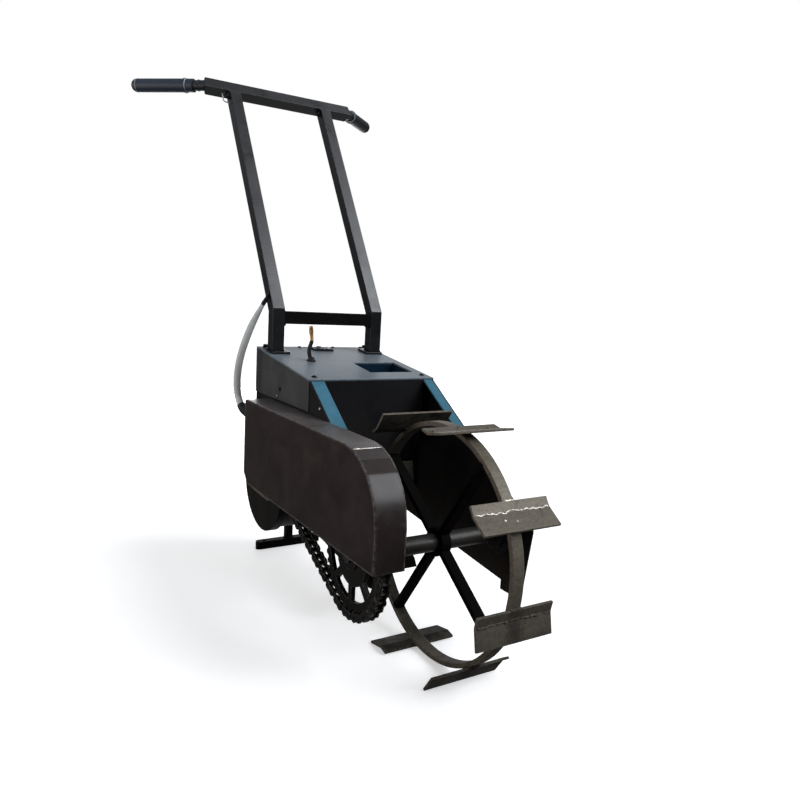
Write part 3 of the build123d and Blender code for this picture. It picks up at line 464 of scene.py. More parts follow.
def make_materials(colours):
    """Fill MATERIALS with the finish of every slot, by the record's slot names."""
    black = colours.black
    # Columns: slot, material name, colour, roughness, specular level, bend in millimetres, dust, wear, colour
    # where it is worn bare and where its edges carry a painted highlight, soil
    for slot, name, colour, roughness, specular, bend, dust, wear, bare, soil in (
        ("handle_paint", "powder coat slate", colours.handle, 0.3, 0.55, 1.6, 0.02, 0.25, "4a4f56", 0.0),
        ("plate_paint", "powder coat grey blue", colours.top, 0.42, 0.3, 2.0, 0.25, 0.8, "9ab4bd", 0.0),
        # Its teal is painted sky light on blue-grey paint
        ("flange_paint", "enamel teal with painted sky light", colours.flange, 0.42, 0.3, 1.4, 0.0, 0.5, "7c9aa6", 0.0),
        ("tray_paint", "enamel dark blue", colours.tray, 0.4, 0.2, 1.4, 0.05, 0.3, "3c5164", 0.0),
        ("box_paint", "powder coat charcoal", colours.box, 0.5, 0.25, 1.6, 0.05, 0.4, "66686a", 0.0),
        # Darkened further as painted shade for the inside of the box
        ("panel_paint", "powder coat near black with painted shade", colours.panel, 0.55, 0.16, 1.4, 0.0, 0.6, "4c4a46", 0.45),
        ("cover_paint", "gloss paint brown black", colours.cover, 0.34, 0.3, 5.0, 0.5, 0.55, "b0a9a5", 0.0),
        ("motor_black", "die cast aluminium painted black", black, 0.55, 0.15, 2.0, 0.0, 0.4, "3c3835", 0.1),
        ("crossbar_black", "powder coat black", black, 0.55, 0.06, 1.6, 0.0, 0.2, "242426", 0.0),
        ("stub_steel", "tube painted slate", linear("1d252e"), 0.45, 0.4, 1.4, 0.0, 0.3, "3a4048", 0.0),
        ("tool_black", "bar painted black", black, 0.7, 0.08, 1.6, 0.0, 0.5, "3a352f", 0.0),
        # Black paint, made near black as painted shade inside the wheel's housing
        ("spoke_black", "spoke painted black with painted shade", linear("070707"), 0.75, 0.05, 1.4, 0.0, 0.2, "24211e", 0.0),
    ):
        MATERIALS[slot] = coated_steel(
            name, colour, roughness, specular, bend, dust, wear, linear(bare), soil)
    # Columns: slot, material name, colour, rust, metallic, roughness, specular level, soil, which here sets
    # how dark the steel grows towards the bottom and the painted shade on faces to the axle, stain
    for slot, name, colour, rust, metallic, roughness, specular, soil, stain in (
        ("rusty_steel", "mild steel rim worn", colours.steel, colours.rust, 0.3, 0.5, 0.3, 0.75, 0.0),
        ("lug_steel", "mild steel lugs worn", colours.steel, colours.rust, 0.3, 0.5, 0.3, 0.95, 1.0),
        ("weld", "bare weld metal", linear("d9d3c9"), colours.rust, 0.6, 0.36, 0.4, 0.95, 0.0),
        ("axle_steel", "axle steel dark", linear("33302d"), linear("1f1915"), 0.4, 0.42, 0.3, 0.0, 0.0),
        ("chain_steel", "chain steel oiled", linear("1c1a18"), linear("120e0b"), 0.5, 0.42, 0.3, 0.0, 0.0),
        ("sprocket_steel", "sprocket steel blackened",
         linear("11100f"), linear("120d0b"), 0.2, 0.55, 0.15, 0.0, 0.0),
        ("bearing_iron", "cast iron", linear("242526"), linear("1c1613"), 0.3, 0.55, 0.3, 0.0, 0.0),
    ):
        MATERIALS[slot] = worn_steel(name, colour, rust, metallic, roughness, specular, soil, stain)
    # Columns: slot, material name, colour, roughness, specular level, grain in millimetres
    for slot, name, colour, roughness, specular, grain in (
        ("black_rubber", "nitrile rubber", linear("15171a"), 0.55, 0.35, 1.5),
        ("blue_rubber", "nitrile rubber blue black", linear("2a3646"), 0.5, 0.45, 1.5),
        ("black_plastic", "ABS moulded black", linear("14161a"), 0.45, 0.3, 1.0),
        ("battery_case", "polypropylene battery case", linear("161616"), 0.5, 0.3, 1.0),
        ("conduit_grey", "PVC conduit", colours.conduit, 0.42, 0.4, 2.0),
        ("lens", "acrylic lens white", linear("e8e8e4"), 0.2, 0.5, 1.0),
        ("pale_ring", "ABS moulded pale grey", linear("c3c8cc"), 0.4, 0.4, 1.0),
    ):
        MATERIALS[slot] = moulded(name, colour, roughness, specular, grain)
    # Columns: slot, material name, colour, roughness
    for slot, name, colour, roughness in (
        ("terminal_brass", "brass terminal", "d0a878", 0.36),
        ("zinc", "zinc plate", "8f9192", 0.35),
        ("black_zinc", "black zinc plate", "1d1e20", 0.4),
    ):
        MATERIALS[slot] = plated(name, linear(colour), roughness)


def dress(mesh_object, body, material):
    """Give a new piece its finish and let it ride on its body."""
    mesh_object.data.materials.clear()
    mesh_object.data.materials.append(MATERIALS[material])
    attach(mesh_object, body)
    return mesh_object


def mesh_piece(name, bm, smooth_angle=40):
    """Mesh object made from a finished bmesh, smooth but for its sharp edges."""
    bmesh.ops.recalc_face_normals(bm, faces=bm.faces)
    for face in bm.faces:
        face.smooth = True
    for edge in bm.edges:
        edge.smooth = edge.calc_face_angle(0) < math.radians(smooth_angle)
    mesh = bpy.data.meshes.new(name)
    bm.to_mesh(mesh)
    bm.free()
    made = bpy.data.objects.new(name, mesh)
    bpy.context.collection.objects.link(made)
    return made


def facing(point, normal):
    """Matrix that puts a piece's base at the point, with its local Z along the normal."""
    turn = Vector(normal).normalized().to_track_quat("Z", "Y").to_matrix().to_4x4()
    return Matrix.Translation(point) @ turn


def on_stub(turn, place):
    """Matrix at a place along the left or right grip's stub in millimetres, with its local Z along it."""
    run = Vector((-math.sin(GRIP_SWEEP), turn * math.cos(GRIP_SWEEP), 0))
    return facing(at(HANDLE_BACK, turn * BAR_HALF, HANDLE_RISE) + run * place / 1000, run)


def ring(bm, base, radius, sides, turn=0.0):
    """Add a ring of vertices round a matrix's local Z axis, in metres."""
    swings = [turn + 2 * math.pi * side / sides for side in range(sides)]
    spots = [Vector((radius * math.cos(swing), radius * math.sin(swing), 0)) for swing in swings]
    return [bm.verts.new(base @ spot) for spot in spots]


def skin_rings(bm, rings, ends):
    """Join rings of vertices into a skin: capped at its two ends, or closed to a loop."""
    loop = rings if ends else rings + rings[:1]
    for lower, upper in zip(loop, loop[1:]):
        for side in range(len(lower)):
            beside = (side + 1) % len(lower)
            bm.faces.new((lower[side], lower[beside], upper[beside], upper[side]))
    if ends:
        bm.faces.new(list(reversed(rings[0])))
        bm.faces.new(rings[-1])


def turned(bm, matrix, profile, sides, turn=0.0, ends=True):
    """Add a body turned from a profile of radius and height steps, in metres."""
    rings = [
        ring(bm, matrix @ Matrix.Translation((0, 0, height)), radius, sides, turn)
        for radius, height in profile
    ]
    skin_rings(bm, rings, ends)


def tube(bm, middles, radii, sides=20):
    """Add a round tube through middle points, with its own radius at each, in metres."""
    rings = []
    for number, (middle, radius) in enumerate(zip(middles, radii)):
        run = middles[min(number + 1, len(middles) - 1)] - middles[max(number - 1, 0)]
        rings.append(ring(bm, facing(middle, run), radius, sides))
    skin_rings(bm, rings, True)


def hex_bolt(bm, point, normal, across):
    """Add a washer and a chamfered hexagon head, across flats in metres."""
    base = facing(point, normal)
    corner = across / math.sqrt(3)
    washer = across * 0.72
    turned(bm, base, ((washer, 0), (washer, across * 0.1), (washer * 0.94, across * 0.14)), 24)
    head = ((corner, across * 0.1), (corner, across * 0.52), (corner * 0.86, across * 0.62))
    turned(bm, base, head, 6, 0.3)


def button_screw(bm, point, normal, radius):
    """Add a low domed screw head with a hexagon socket."""
    base = facing(point, normal)
    dome = [(radius, 0), (radius, radius * 0.12)]
    for step in range(1, 5):
        swing = math.radians(20 * step)
        dome.append((radius * math.cos(swing) * 0.98, radius * (0.12 + 0.42 * math.sin(swing))))
    dome.append((radius * 0.36, radius * 0.56))
    dome.append((radius * 0.34, radius * 0.2))
    turned(bm, base, dome, 18)


# Sides of a weld bead's section
BEAD_SIDES = 7


def weld_bead(bm, start, end, radius, seed, ragged=0.35):
    """Add a rippled weld bead from start to end, round the line where two pieces meet."""
    run = end - start
    steps = max(6, round(run.length / radius * 1.6))
    turn = run.to_track_quat("Z", "Y").to_matrix()
    rings = []
    for step in range(steps + 1):
        along = step / steps
        # The bead swells about 260 times to the metre and strays about 120 times
        spread = noise.noise(Vector((seed * 7.3, along * run.length * 260, 0.5)))
        stray = noise.noise(Vector((seed * 3.1, along * run.length * 120, 4.5)))
        ripple = 0.12 * math.sin(step * 2.1)
        size = radius * max(0.3, 0.95 + ripple + ragged * spread)
        if step in (0, steps):
            size *= 0.45
        middle = start + run * along + turn @ Vector((stray, stray, 0)) * radius * ragged * 1.4
        rings.append(ring(bm, facing(middle, run), size, BEAD_SIDES))
    skin_rings(bm, rings, True)


def weld_ring(bm, corners, radius, seed):
    """Add weld beads along a closed run of corners."""
    for number, corner in enumerate(corners):
        weld_bead(bm, corner, corners[(number + 1) % len(corners)], radius, seed + number)


class TILLER_OT_finishes(bpy.types.Operator):
    """Give every CAD node the finish of its slot"""

    bl_idname = "tiller.finishes"
    bl_label = "Finish the CAD pieces"

    # Pieces whose finish differs from the rest of their slot
    OWN_FINISH = {
        "lugs": "lug_steel",
        "spokes": "spoke_black",
        "throttle_collar": "blue_rubber",
        "throttle_grip": "blue_rubber",
        "throttle_wire": "pale_ring",
    }

    def execute(self, context):
        make_materials(context.scene.tiller_colours)
        for subpart in frame["record"]["subparts"]:
            node = subpart["node"]
            materials = frame["nodes"][node].data.materials
            materials.clear()
            materials.append(MATERIALS[self.OWN_FINISH.get(node, subpart["material_slot"])])
        return {"FINISHED"}


class TILLER_OT_conduit(bpy.types.Operator):
    """Lay the conduit from the right upright to the chain cover, with its boot and its sleeve"""

    bl_idname = "tiller.conduit"
    bl_label = "Conduit"

    # Columns: behind, left of and above the wheel's middle in millimetres, and share of the full radius
    ROUTE = (
        (471.8, -138.5, 364.1, 0.55),
        (477, -154, 333, 0.9),
        (485, -166, 297, 1.0),
        (495, -175, 257, 1.0),
        (504, -178, 217, 1.0),
        (508, -176, 180, 1.0),
        (495, -173, 157, 1.0),
        (472, -170, 143, 1.0),
        (447, -168, 142, 1.0),
    )
    # Where it leaves its boot, in millimetres, and its length from there, in metres
    EXIT = (473, -142, 357)
    LENGTH = 0.263
    BOOT_END = (467.4, -125.2, 390)
    BOOT_RADII = (0.0043, 0.0046, 0.0044, 0.0040, 0.0036, 0.0032, 0.0028, 0.0026)
    # The sleeve's radius, that of its lip as a share, and its sections, counted along the conduit's spline in
    # spans, of which a spline of order three has two fewer than points
    SLEEVE_RADIUS = 0.0088
    LIP = 0.9
    SLEEVE_PLACES = (5.62, 5.64, 5.75, 5.87, 6, 6.15, 6.3, 6.45, 6.6, 6.8, 7)
    SPANS = len(ROUTE) - 2
    LINE_STEPS = 1024

    def line_points(self, curve):
        """Points along the conduit's own spline, as Blender draws it with no bevel."""
        bare = curve.copy()
        bare.bevel_depth = 0
        bare.resolution_u = self.LINE_STEPS
        line = bpy.data.objects.new("line", bare)
        mesh = bpy.data.meshes.new_from_object(line)
        points = [vertex.co.copy() for vertex in mesh.vertices]
        bpy.data.objects.remove(line)
        bpy.data.curves.remove(bare)
        bpy.data.meshes.remove(mesh)
        return points

    def fittings(self, curve):
        """Fit the boot at the conduit's upper end and the sleeve at its lower end."""
        start, end = at(*self.ROUTE[0][:3]), at(*self.BOOT_END)
        boot = bmesh.new()
        count = len(self.BOOT_RADII)
        middles = [start.lerp(end, step / (count - 1)) for step in range(count)]
        tube(boot, middles, self.BOOT_RADII)
        piece = dress(mesh_piece("upper_boot", boot), "frame", "black_plastic")
        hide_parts("upper_gland")
        points = self.line_points(curve)
        final = len(points) - 1
        middles = [points[round(place / self.SPANS * final)] for place in self.SLEEVE_PLACES]
        sleeve = bmesh.new()
        radii = [self.SLEEVE_RADIUS * self.LIP] + [self.SLEEVE_RADIUS] * (len(middles) - 1)
        tube(sleeve, middles, radii)
        dress(mesh_piece("lower_sleeve", sleeve), "frame", "black_plastic")

    def execute(self, context):
        radius = context.scene.tiller_sizes.conduit
        curve = bpy.data.curves.new("conduit_line", "CURVE")
        curve.dimensions = "3D"
        curve.bevel_depth = radius
        curve.bevel_resolution = 5
        curve.resolution_u = 16
        curve.use_fill_caps = True
        spline = curve.splines.new("NURBS")
        spline.points.add(len(self.ROUTE) - 1)
        for control, (back, out, rise, share) in zip(spline.points, self.ROUTE):
            control.co = (*at(back, out, rise), 1)
            control.radius = share
        spline.order_u = 3
        spline.use_endpoint_u = True
        conduit = bpy.data.objects.new("conduit_tube", curve)
        context.collection.objects.link(conduit)
        dress(conduit, "frame", "conduit_grey")
        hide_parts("conduit")
        at(*self.EXIT)
        self.fittings(curve)
        return {"FINISHED"}


class TILLER_OT_cover(bpy.types.Operator):
    """Stand a cover with a rolled nose in place of the faceted one, and a seam in bright weld metal that is
    also a painted highlight along its first bend
    """

    bl_idname = "tiller.cover"
    bl_label = "Chain cover"

    NOSE = (-2, 73)
    # Bends above this angle, up from ahead, stay crisp; those below it are rolled smooth
    CRISP_ABOVE = math.radians(42)
    # The seam lies along the nose's first bend, a little sunk: its turn up from ahead, and its nose radius
    SEAM_TURN = math.radians(75)
    SEAM_RADIUS = 104.6
    # Columns: share of the way in from the outer edge, the seam's radius there in millimetres
    SEAM_SECTIONS = (
        (0.02, 0.5), (0.06, 1.5), (0.16, 1.9), (0.26, 1.2),
        (0.31, 0.7), (0.36, 1.0), (0.65, 1.2), (0.96, 0.6),
    )

    def execute(self, context):
        source = frame["nodes"]["chain_cover"]
        bm = bmesh.new()
        bm.from_mesh(source.data)
        bm.transform(source.matrix_world)
        bmesh.ops.remove_doubles(bm, verts=bm.verts, dist=1e-6)
        bmesh.ops.dissolve_limit(bm, angle_limit=math.radians(0.5), verts=bm.verts, edges=bm.edges)
        cover = mesh_piece("chain_cover_skin", bm, 20)
        nose = at(self.NOSE[0], 0, self.NOSE[1])
        for edge in cover.data.edges:
            spots = [cover.data.vertices[number].co - nose for number in edge.vertices]
            middle = (spots[0] + spots[1]) / 2
            if math.atan2(middle.z, middle.x) > self.CRISP_ABOVE:
                edge.use_edge_sharp = True
        dress(cover, "frame", "cover_paint")
        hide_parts("chain_cover")
        low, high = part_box("chain_cover")
        aim = Vector((math.cos(self.SEAM_TURN), 0, math.sin(self.SEAM_TURN)))
        bend = nose + aim * self.SEAM_RADIUS / 1000
        shares, radii = zip(*self.SEAM_SECTIONS)
        middles = [Vector((bend.x, low.y + share * (high.y - low.y), bend.z)) for share in shares]
        seam = bmesh.new()
        tube(seam, middles, [radius / 1000 for radius in radii], 10)
        # The seam's bright weld metal is also a painted highlight of the glint along the nose's first bend
        dress(mesh_piece("cover_seam_highlight", seam), "frame", "weld")
        return {"FINISHED"}


class TILLER_OT_case_rib(bpy.types.Operator):
    """Raise a rib on the gear case's outer face, whose lighter steel is a painted highlight along the case's
    edge
    """

    bl_idname = "tiller.case_rib"
    bl_label = "Gear case rib"

    START = (486, -147.2, -20)
    END = (386, -147.2, -23)
    # Columns: share of the rib's length, its radius there in millimetres
    SECTIONS = (
        (0, 0.6), (0.02, 1.5), (0.06, 2.2), (0.3, 2.4),
        (0.7, 2.4), (0.94, 2.2), (0.98, 1.5), (1, 0.6),
    )

    def execute(self, context):
        start, end = at(*self.START), at(*self.END)
        shares, radii = zip(*self.SECTIONS)
        middles = [start.lerp(end, share) for share in shares]
        rib = bmesh.new()
        tube(rib, middles, [radius / 1000 for radius in radii], 12)
        # The rib's lighter steel is a painted highlight of the glint along the gear case's edge
        dress(mesh_piece("gear_case_rib_highlight", rib), "frame", "rusty_steel")
        return {"FINISHED"}


class TILLER_OT_fasteners(bpy.types.Operator):
    """Add the bolts and screws of the frame"""

    bl_idname = "tiller.fasteners"
    bl_label = "Fasteners"

    # Columns: behind and left of the wheel's middle, head radius, in millimetres
    TOP_SCREWS = ((259, -116, 5), (262, 120, 5), (505, -40, 4), (505, 40, 4))
    # Columns: behind and left of the wheel's middle, width across flats, in millimetres
    TOP_BOLTS = ((502, -118, 10), (502, 118, 10), (492, 103, 8), (492, -103, 8))
    # Behind and above the wheel's middle, head radius, in millimetres; one on each box side
    WALL_SCREW = (375, 204.5, 4)
    # Columns: behind, left of and above the wheel's middle, head radius, in millimetres
    RIGHT_SCREWS = ((390, -134.7, 188.5, 3.5), (194, -133.2, 194.8, 3.5))
    # Columns: left of and above the wheel's middle, in millimetres
    REAR_SCREWS = ((-118, 250), (118, 250), (-118, 130), (118, 130), (0, 250))
    REAR_SCREW_RADIUS = 0.005
    # Widths across flats, and the circle of the bearings' bolts, in metres
    BEARING_BOLT = 0.010
    BEARING_CIRCLE = 0.032
    BRACKET_BOLT = 0.012
    CLAMP_BOLT = 0.016
    # Bracket's bolts from its middle each way, in millimetres
    BRACKET_REACH = 34

    def execute(self, context):
        dark = bmesh.new()
        for back, out, radius in self.TOP_SCREWS:
            button_screw(dark, on_top(back, out), TOP_NORMAL, radius / 1000)
        for back, out, across in self.TOP_BOLTS:
            hex_bolt(dark, on_top(back, out), TOP_NORMAL, across / 1000)
        back, rise, radius = self.WALL_SCREW
        for turn in (-1, 1):
            button_screw(dark, at(back, turn * WALL_SIDE, rise), (0, turn, 0), radius / 1000)
        for out, rise in self.REAR_SCREWS:
            button_screw(dark, at(TOP_REAR_BACK, out, rise), (-1, 0, 0), self.REAR_SCREW_RADIUS)
        dress(mesh_piece("box_screws", dark), "frame", "black_zinc")
        bright = bmesh.new()
        for back, out, rise, radius in self.RIGHT_SCREWS:
            button_screw(bright, at(back, out, rise), (0, -1, 0), radius / 1000)
        for corner in range(3):
            swing = math.radians(30 + 120 * corner)
            spot = HUB + self.BEARING_CIRCLE * Vector((math.cos(swing), 0, math.sin(swing)))
            for side, turn in ((LEFT_PANEL_SIDE, 1), (PANEL_SIDE, -1)):
                hex_bolt(bright, Vector((spot.x, side, spot.z)), (0, turn, 0), self.BEARING_BOLT)
        for across in (-1, 1):
            for up in (-1, 1):
                out = TOOL_SIDE + self.BRACKET_REACH * across
                rise = DRAWBAR_RISE + self.BRACKET_REACH * up
                hex_bolt(bright, at(BRACKET_BACK, out, rise), (-1, 0, 0), self.BRACKET_BOLT)
        hex_bolt(bright, at(CLAMP_BACK, TOOL_SIDE, DRAWBAR_RISE), (-1, 0, 0), self.CLAMP_BOLT)
        dress(mesh_piece("frame_bolts", bright), "frame", "zinc")
        return {"FINISHED"}


class TILLER_OT_chain_pins(bpy.types.Operator):
    """Head every pin of the chain on both sides"""

    bl_idname = "tiller.chain_pins"
    bl_label = "Chain pins"

    PITCH = 15.875
    WHEEL_TEETH = 37
    MOTOR_TEETH = 11
    MOTOR_BACK = 365
    MOTOR_RISE = 92
    OUTER_FACE = 8.75

    def loop_points(self):
        """Pin centres round the two sprockets, ahead of and above the axle."""
        wheel = self.PITCH / (2 * math.sin(math.pi / self.WHEEL_TEETH))
        motor = self.PITCH / (2 * math.sin(math.pi / self.MOTOR_TEETH))
        span = math.hypot(self.MOTOR_BACK, self.MOTOR_RISE)
        aim = math.atan2(self.MOTOR_RISE, -self.MOTOR_BACK)
        wrap = math.acos((wheel - motor) / span)
        start, leave = aim + wrap - 2 * math.pi, aim - wrap
        straight = span * math.sin(wrap)
        wheel_arc = wheel * (leave - start)
        motor_arc = motor * 2 * wrap
        whole = wheel_arc + motor_arc + 2 * straight
        count = 2 * round(whole / self.PITCH / 2)
        centre = Vector((-self.MOTOR_BACK, self.MOTOR_RISE))
        for number in range(count):
            run = whole * number / count
            if run < wheel_arc:
                swing = start + run / wheel
                yield wheel * Vector((math.cos(swing), math.sin(swing)))
                continue
            run -= wheel_arc
            ray = Vector((math.cos(leave), math.sin(leave)))
            if run < straight:
                yield wheel * ray + run * Vector((-ray.y, ray.x))
                continue
            run -= straight
            if run < motor_arc:
                swing = leave + run / motor
                yield centre + motor * Vector((math.cos(swing), math.sin(swing)))
                continue
            run -= motor_arc
            ray = Vector((math.cos(start), math.sin(start)))
            yield centre + motor * ray + run * Vector((-ray.y, ray.x))

    def execute(self, context):
        radius = context.scene.tiller_sizes.pin
        middle = ((CHAIN_LOW.y + CHAIN_HIGH.y) / 2 - HUB.y) * 1000
        head = ((radius, -0.0005), (radius, 0.0006), (radius * 0.7, 0.001))
        pins = bmesh.new()
        for spot in self.loop_points():
            for turn in (-1, 1):
                place = at(-spot.x, middle + turn * self.OUTER_FACE, spot.y)
                turned(pins, facing(place, (0, turn, 0)), head, 10)
        dress(mesh_piece("chain_pins", pins), "frame", "black_zinc")
        return {"FINISHED"}


class TILLER_OT_wheel_welds(bpy.types.Operator):
    """Lay the weld beads and drops of the lugs, and the beads of the spokes at the rim and the hub"""

    bl_idname = "tiller.wheel_welds"
    bl_label = "Wheel welds"

    LUGS = 8
    FIRST_LUG = 32.7
    FOOT_TOP = 203.6
    FOOT_HALF = 8
    LUG_HALF_WIDTH = 70
    RIM_RADIUS = 199.5
    RIM_INNER = 191.5
    RIM_HALF_WIDTH = 10
    SPOKE_ANGLES = (-35, 55, 145, 235)
    SPOKE_HALF_HEIGHT = 4.5
    SPOKE_HALF_WIDTH = 9
    HUB_RADIUS = 15.5
    BLADE_ROOT = (203.6, -8)
    BLADE_TIP = (216.5, -38.96)
    BLADE_NORMAL = (3.1, 1.29)
    # How far a blade's bead stops short of its ends, and a foot's bead passes the rim's face and sides, in
    # millimetres
    BEAD_SHORT = 3
    BEAD_LIFT = 1.5
    BEAD_PROUD = 1
    BLADE_RAGGED = 0.9
    # Sizes of the beads at the rim and at the spokes, and of the drops on worn lugs, as shares of the first
    RIM_BEAD = 1.5
    SPOKE_BEAD = 1.3
    WORN_DROP = 0.6
    # Columns: place of a drop down the blade as a share, left of its middle in millimetres, its radius
    SPATTER = ((0.42, -23, 2.6), (0.52, -3, 1.9), (0.3, 34, 0.9))
    # A drop's section, in degrees up from its base, and how many times as wide as high it is
    DROP_STEPS = (0, 25, 50, 75)
    DROP_SPREAD = 1.3

    def spot(self, angle, radial, across, out):
        """Point in the frame of a lug or spoke at an angle up from ahead, in millimetres."""
        turn = math.radians(angle)
        ahead = radial * math.cos(turn) - across * math.sin(turn)
        rise = radial * math.sin(turn) + across * math.cos(turn)
        return at(-ahead, out, rise)

    def lug_beads(self, beads, lug, angle, radius):
        """Lay one lug's beads: along its blade, along its foot's edge and on both sides of the rim."""
        reach = self.LUG_HALF_WIDTH - self.BEAD_SHORT
        ends = [self.spot(angle, self.FOOT_TOP, -self.FOOT_HALF, turn * reach) for turn in (-1, 1)]
        weld_bead(beads, *ends, radius, lug, self.BLADE_RAGGED)
        over = self.RIM_RADIUS + self.BEAD_LIFT
        reach = self.RIM_HALF_WIDTH + self.BEAD_PROUD
        ends = [self.spot(angle, over, self.FOOT_HALF, turn * reach) for turn in (-1, 1)]
        weld_bead(beads, *ends, radius * self.RIM_BEAD, lug + 10)
        for turn in (-1, 1):
            out = turn * self.RIM_HALF_WIDTH
            ends = [self.spot(angle, self.RIM_RADIUS, end * self.FOOT_HALF, out) for end in (-1, 1)]
            weld_bead(beads, *ends, radius * self.RIM_BEAD, lug + 20 + turn)

    def drops(self, beads, lug, angle):
        """Scatter one lug's weld drops, which are smaller and elsewhere on the worn lugs."""
        swings = [math.radians(step) for step in self.DROP_STEPS]
        for share, out, size in self.SPATTER:
            if lug:
                # Waves of the lug's number put its drops in other places
                share, out = share + 0.3 * math.sin(lug * 4.1 + out), out * math.cos(lug * 2.3)
                size *= self.WORN_DROP
            radial, across = Vector(self.BLADE_ROOT).lerp(Vector(self.BLADE_TIP), share)
            drop = self.spot(angle, radial, across, out)
            under = self.spot(angle, radial - self.BLADE_NORMAL[0], across - self.BLADE_NORMAL[1], out)
            wide = size / 1000
            high = wide / self.DROP_SPREAD
            dome = [(wide * math.cos(swing), high * math.sin(swing)) for swing in swings]
            turned(beads, facing(drop, drop - under), dome, 10)

    def execute(self, context):
        radius = context.scene.tiller_sizes.weld
        fresh = bmesh.new()
        worn = bmesh.new()
        dark = bmesh.new()
        for lug in range(self.LUGS):
            # Only the first lug's welds are still bright
            beads = worn if lug else fresh
            angle = self.FIRST_LUG + 360 / self.LUGS * lug
            self.lug_beads(beads, lug, angle, radius)
            self.drops(beads, lug, angle)
        for number, angle in enumerate(self.SPOKE_ANGLES):
            for radial in (self.RIM_INNER, self.HUB_RADIUS):
                corners = [
                    self.spot(angle, radial, up * self.SPOKE_HALF_HEIGHT, out * self.SPOKE_HALF_WIDTH)
                    for up, out in CORNERS
                ]
                weld_ring(dark, corners, radius * self.SPOKE_BEAD, number * 4 + 40)
        for name, bm, finish, slot in (
            ("lug_welds", worn, "lug_steel", "rusty_steel"),
            ("fresh_welds", fresh, "weld", "rusty_steel"),
            ("spoke_welds", dark, "spoke_black", "axle_steel"),
        ):
            dress(mesh_piece(name, bm, 80), "lug_wheel", finish)
        return {"FINISHED"}


class TILLER_OT_frame_welds(bpy.types.Operator):
    """Lay the painted weld beads of the handle and the tool bar"""

    bl_idname = "tiller.frame_welds"
    bl_label = "Frame welds"

    FOOT_THICKNESS = 5
    NECK_RADIUS = 11.5
    NECK_START = 13
    NECK_STEPS = 10
    # Sizes of the beads as shares of their radius; the crossbar's are under it and over it
    POST_BEAD = 0.8
    CROSSBAR_BEADS = ((-1, 1.6), (1, 0.8))
    NECK_BEAD = 0.6
    CROSSBAR_RAGGED = 0.15
    # Where the shank stands on the tool bar, above the floor, and half widths of the shank and the drawbar
    SHANK_BACK = 592
    BAR_TOP = 18
    SHANK_HALF = 8
    DRAWBAR_HALF = 15

    def execute(self, context):
        radius = context.scene.tiller_sizes.fillet
        handle = bmesh.new()
        black = bmesh.new()
        tool = bmesh.new()
        rise = Vector((-math.sin(LEAN), 0, math.cos(LEAN)))
        ahead = Vector((math.cos(LEAN), 0, math.sin(LEAN)))
        half = HALF_TUBE / 1000
        for turn in (-1, 1):
            top = at(HANDLE_BACK, turn * POST_SIDE, HANDLE_RISE) - rise * half
            for face in (-1, 1):
                beside = top + Vector((0, face * half, 0))
                weld_bead(
                    handle, beside - ahead * half, beside + ahead * half,
                    radius * self.POST_BEAD, turn + face)
            inner = turn * (POST_SIDE - HALF_TUBE)
            for up, share in self.CROSSBAR_BEADS:
                level = CROSSBAR_RISE + up * HALF_TUBE
                weld_bead(
                    black, at(POST_BACK + HALF_TUBE, inner, level), at(POST_BACK - HALF_TUBE, inner, level),
                    radius * share, turn * 3 + up, self.CROSSBAR_RAGGED)
            corners = [
                on_top(POST_BACK + back * HALF_TUBE, turn * POST_SIDE + out * HALF_TUBE, self.FOOT_THICKNESS)
                for back, out in CORNERS
            ]
            weld_ring(black, corners, radius * self.POST_BEAD, turn * 5)
            neck = on_stub(turn, self.NECK_START)
            swings = [2 * math.pi * step / self.NECK_STEPS for step in range(self.NECK_STEPS)]
            corners = [
                neck @ (Vector((math.cos(swing), math.sin(swing), 0)) * self.NECK_RADIUS / 1000)
                for swing in swings
            ]
            weld_ring(handle, corners, radius * self.NECK_BEAD, turn * 7)
        foot = at(self.SHANK_BACK, TOOL_SIDE, self.BAR_TOP) - Vector((0, 0, HUB.z))
        for centre, size, normal in (
            (foot, self.SHANK_HALF, (0, 0, 1)),
            (at(BRACKET_BACK, TOOL_SIDE, DRAWBAR_RISE), self.DRAWBAR_HALF, (-1, 0, 0)),
        ):
            base = facing(centre, normal)
            corners = [base @ (Vector((x * size, y * size, 0)) / 1000) for x, y in CORNERS]
            weld_ring(tool, corners, radius, size)
        for name, bm, material in (
            ("handle_welds", handle, "handle_paint"),
            ("crossbar_welds", black, "crossbar_black"),
            ("tool_welds", tool, "tool_black"),
        ):
            dress(mesh_piece(name, bm, 80), "frame", material)
        return {"FINISHED"}


class TILLER_OT_grip_rings(bpy.types.Operator):
    """Put the pale rings at the ends of the grips"""

    bl_idname = "tiller.grip_rings"
    bl_label = "Grip rings"

    # Columns: side, place along the stub, ring's inner and outer radius, its length, in millimetres
    RINGS = (
        (-1, 42.2, 13, 15.6, 1.6),
        (-1, 163.2, 13, 15.0, 1.2),
        (1, 24.2, 11.6, 15.0, 1.6),
    )
    ROUNDING = 0.3

    def execute(self, context):
        rings = bmesh.new()
        for turn, place, inner, outer, length in self.RINGS:
            half = length / 2000
            inner, outer, edge = inner / 1000, outer / 1000, self.ROUNDING / 1000
            profile = (
                (inner, -half), (outer - edge, -half), (outer, edge - half),
                (outer, half - edge), (outer - edge, half), (inner, half),
            )
            turned(rings, on_stub(turn, place), profile, 40, ends=False)
        dress(mesh_piece("grip_rings", rings), "frame", "pale_ring")
        return {"FINISHED"}


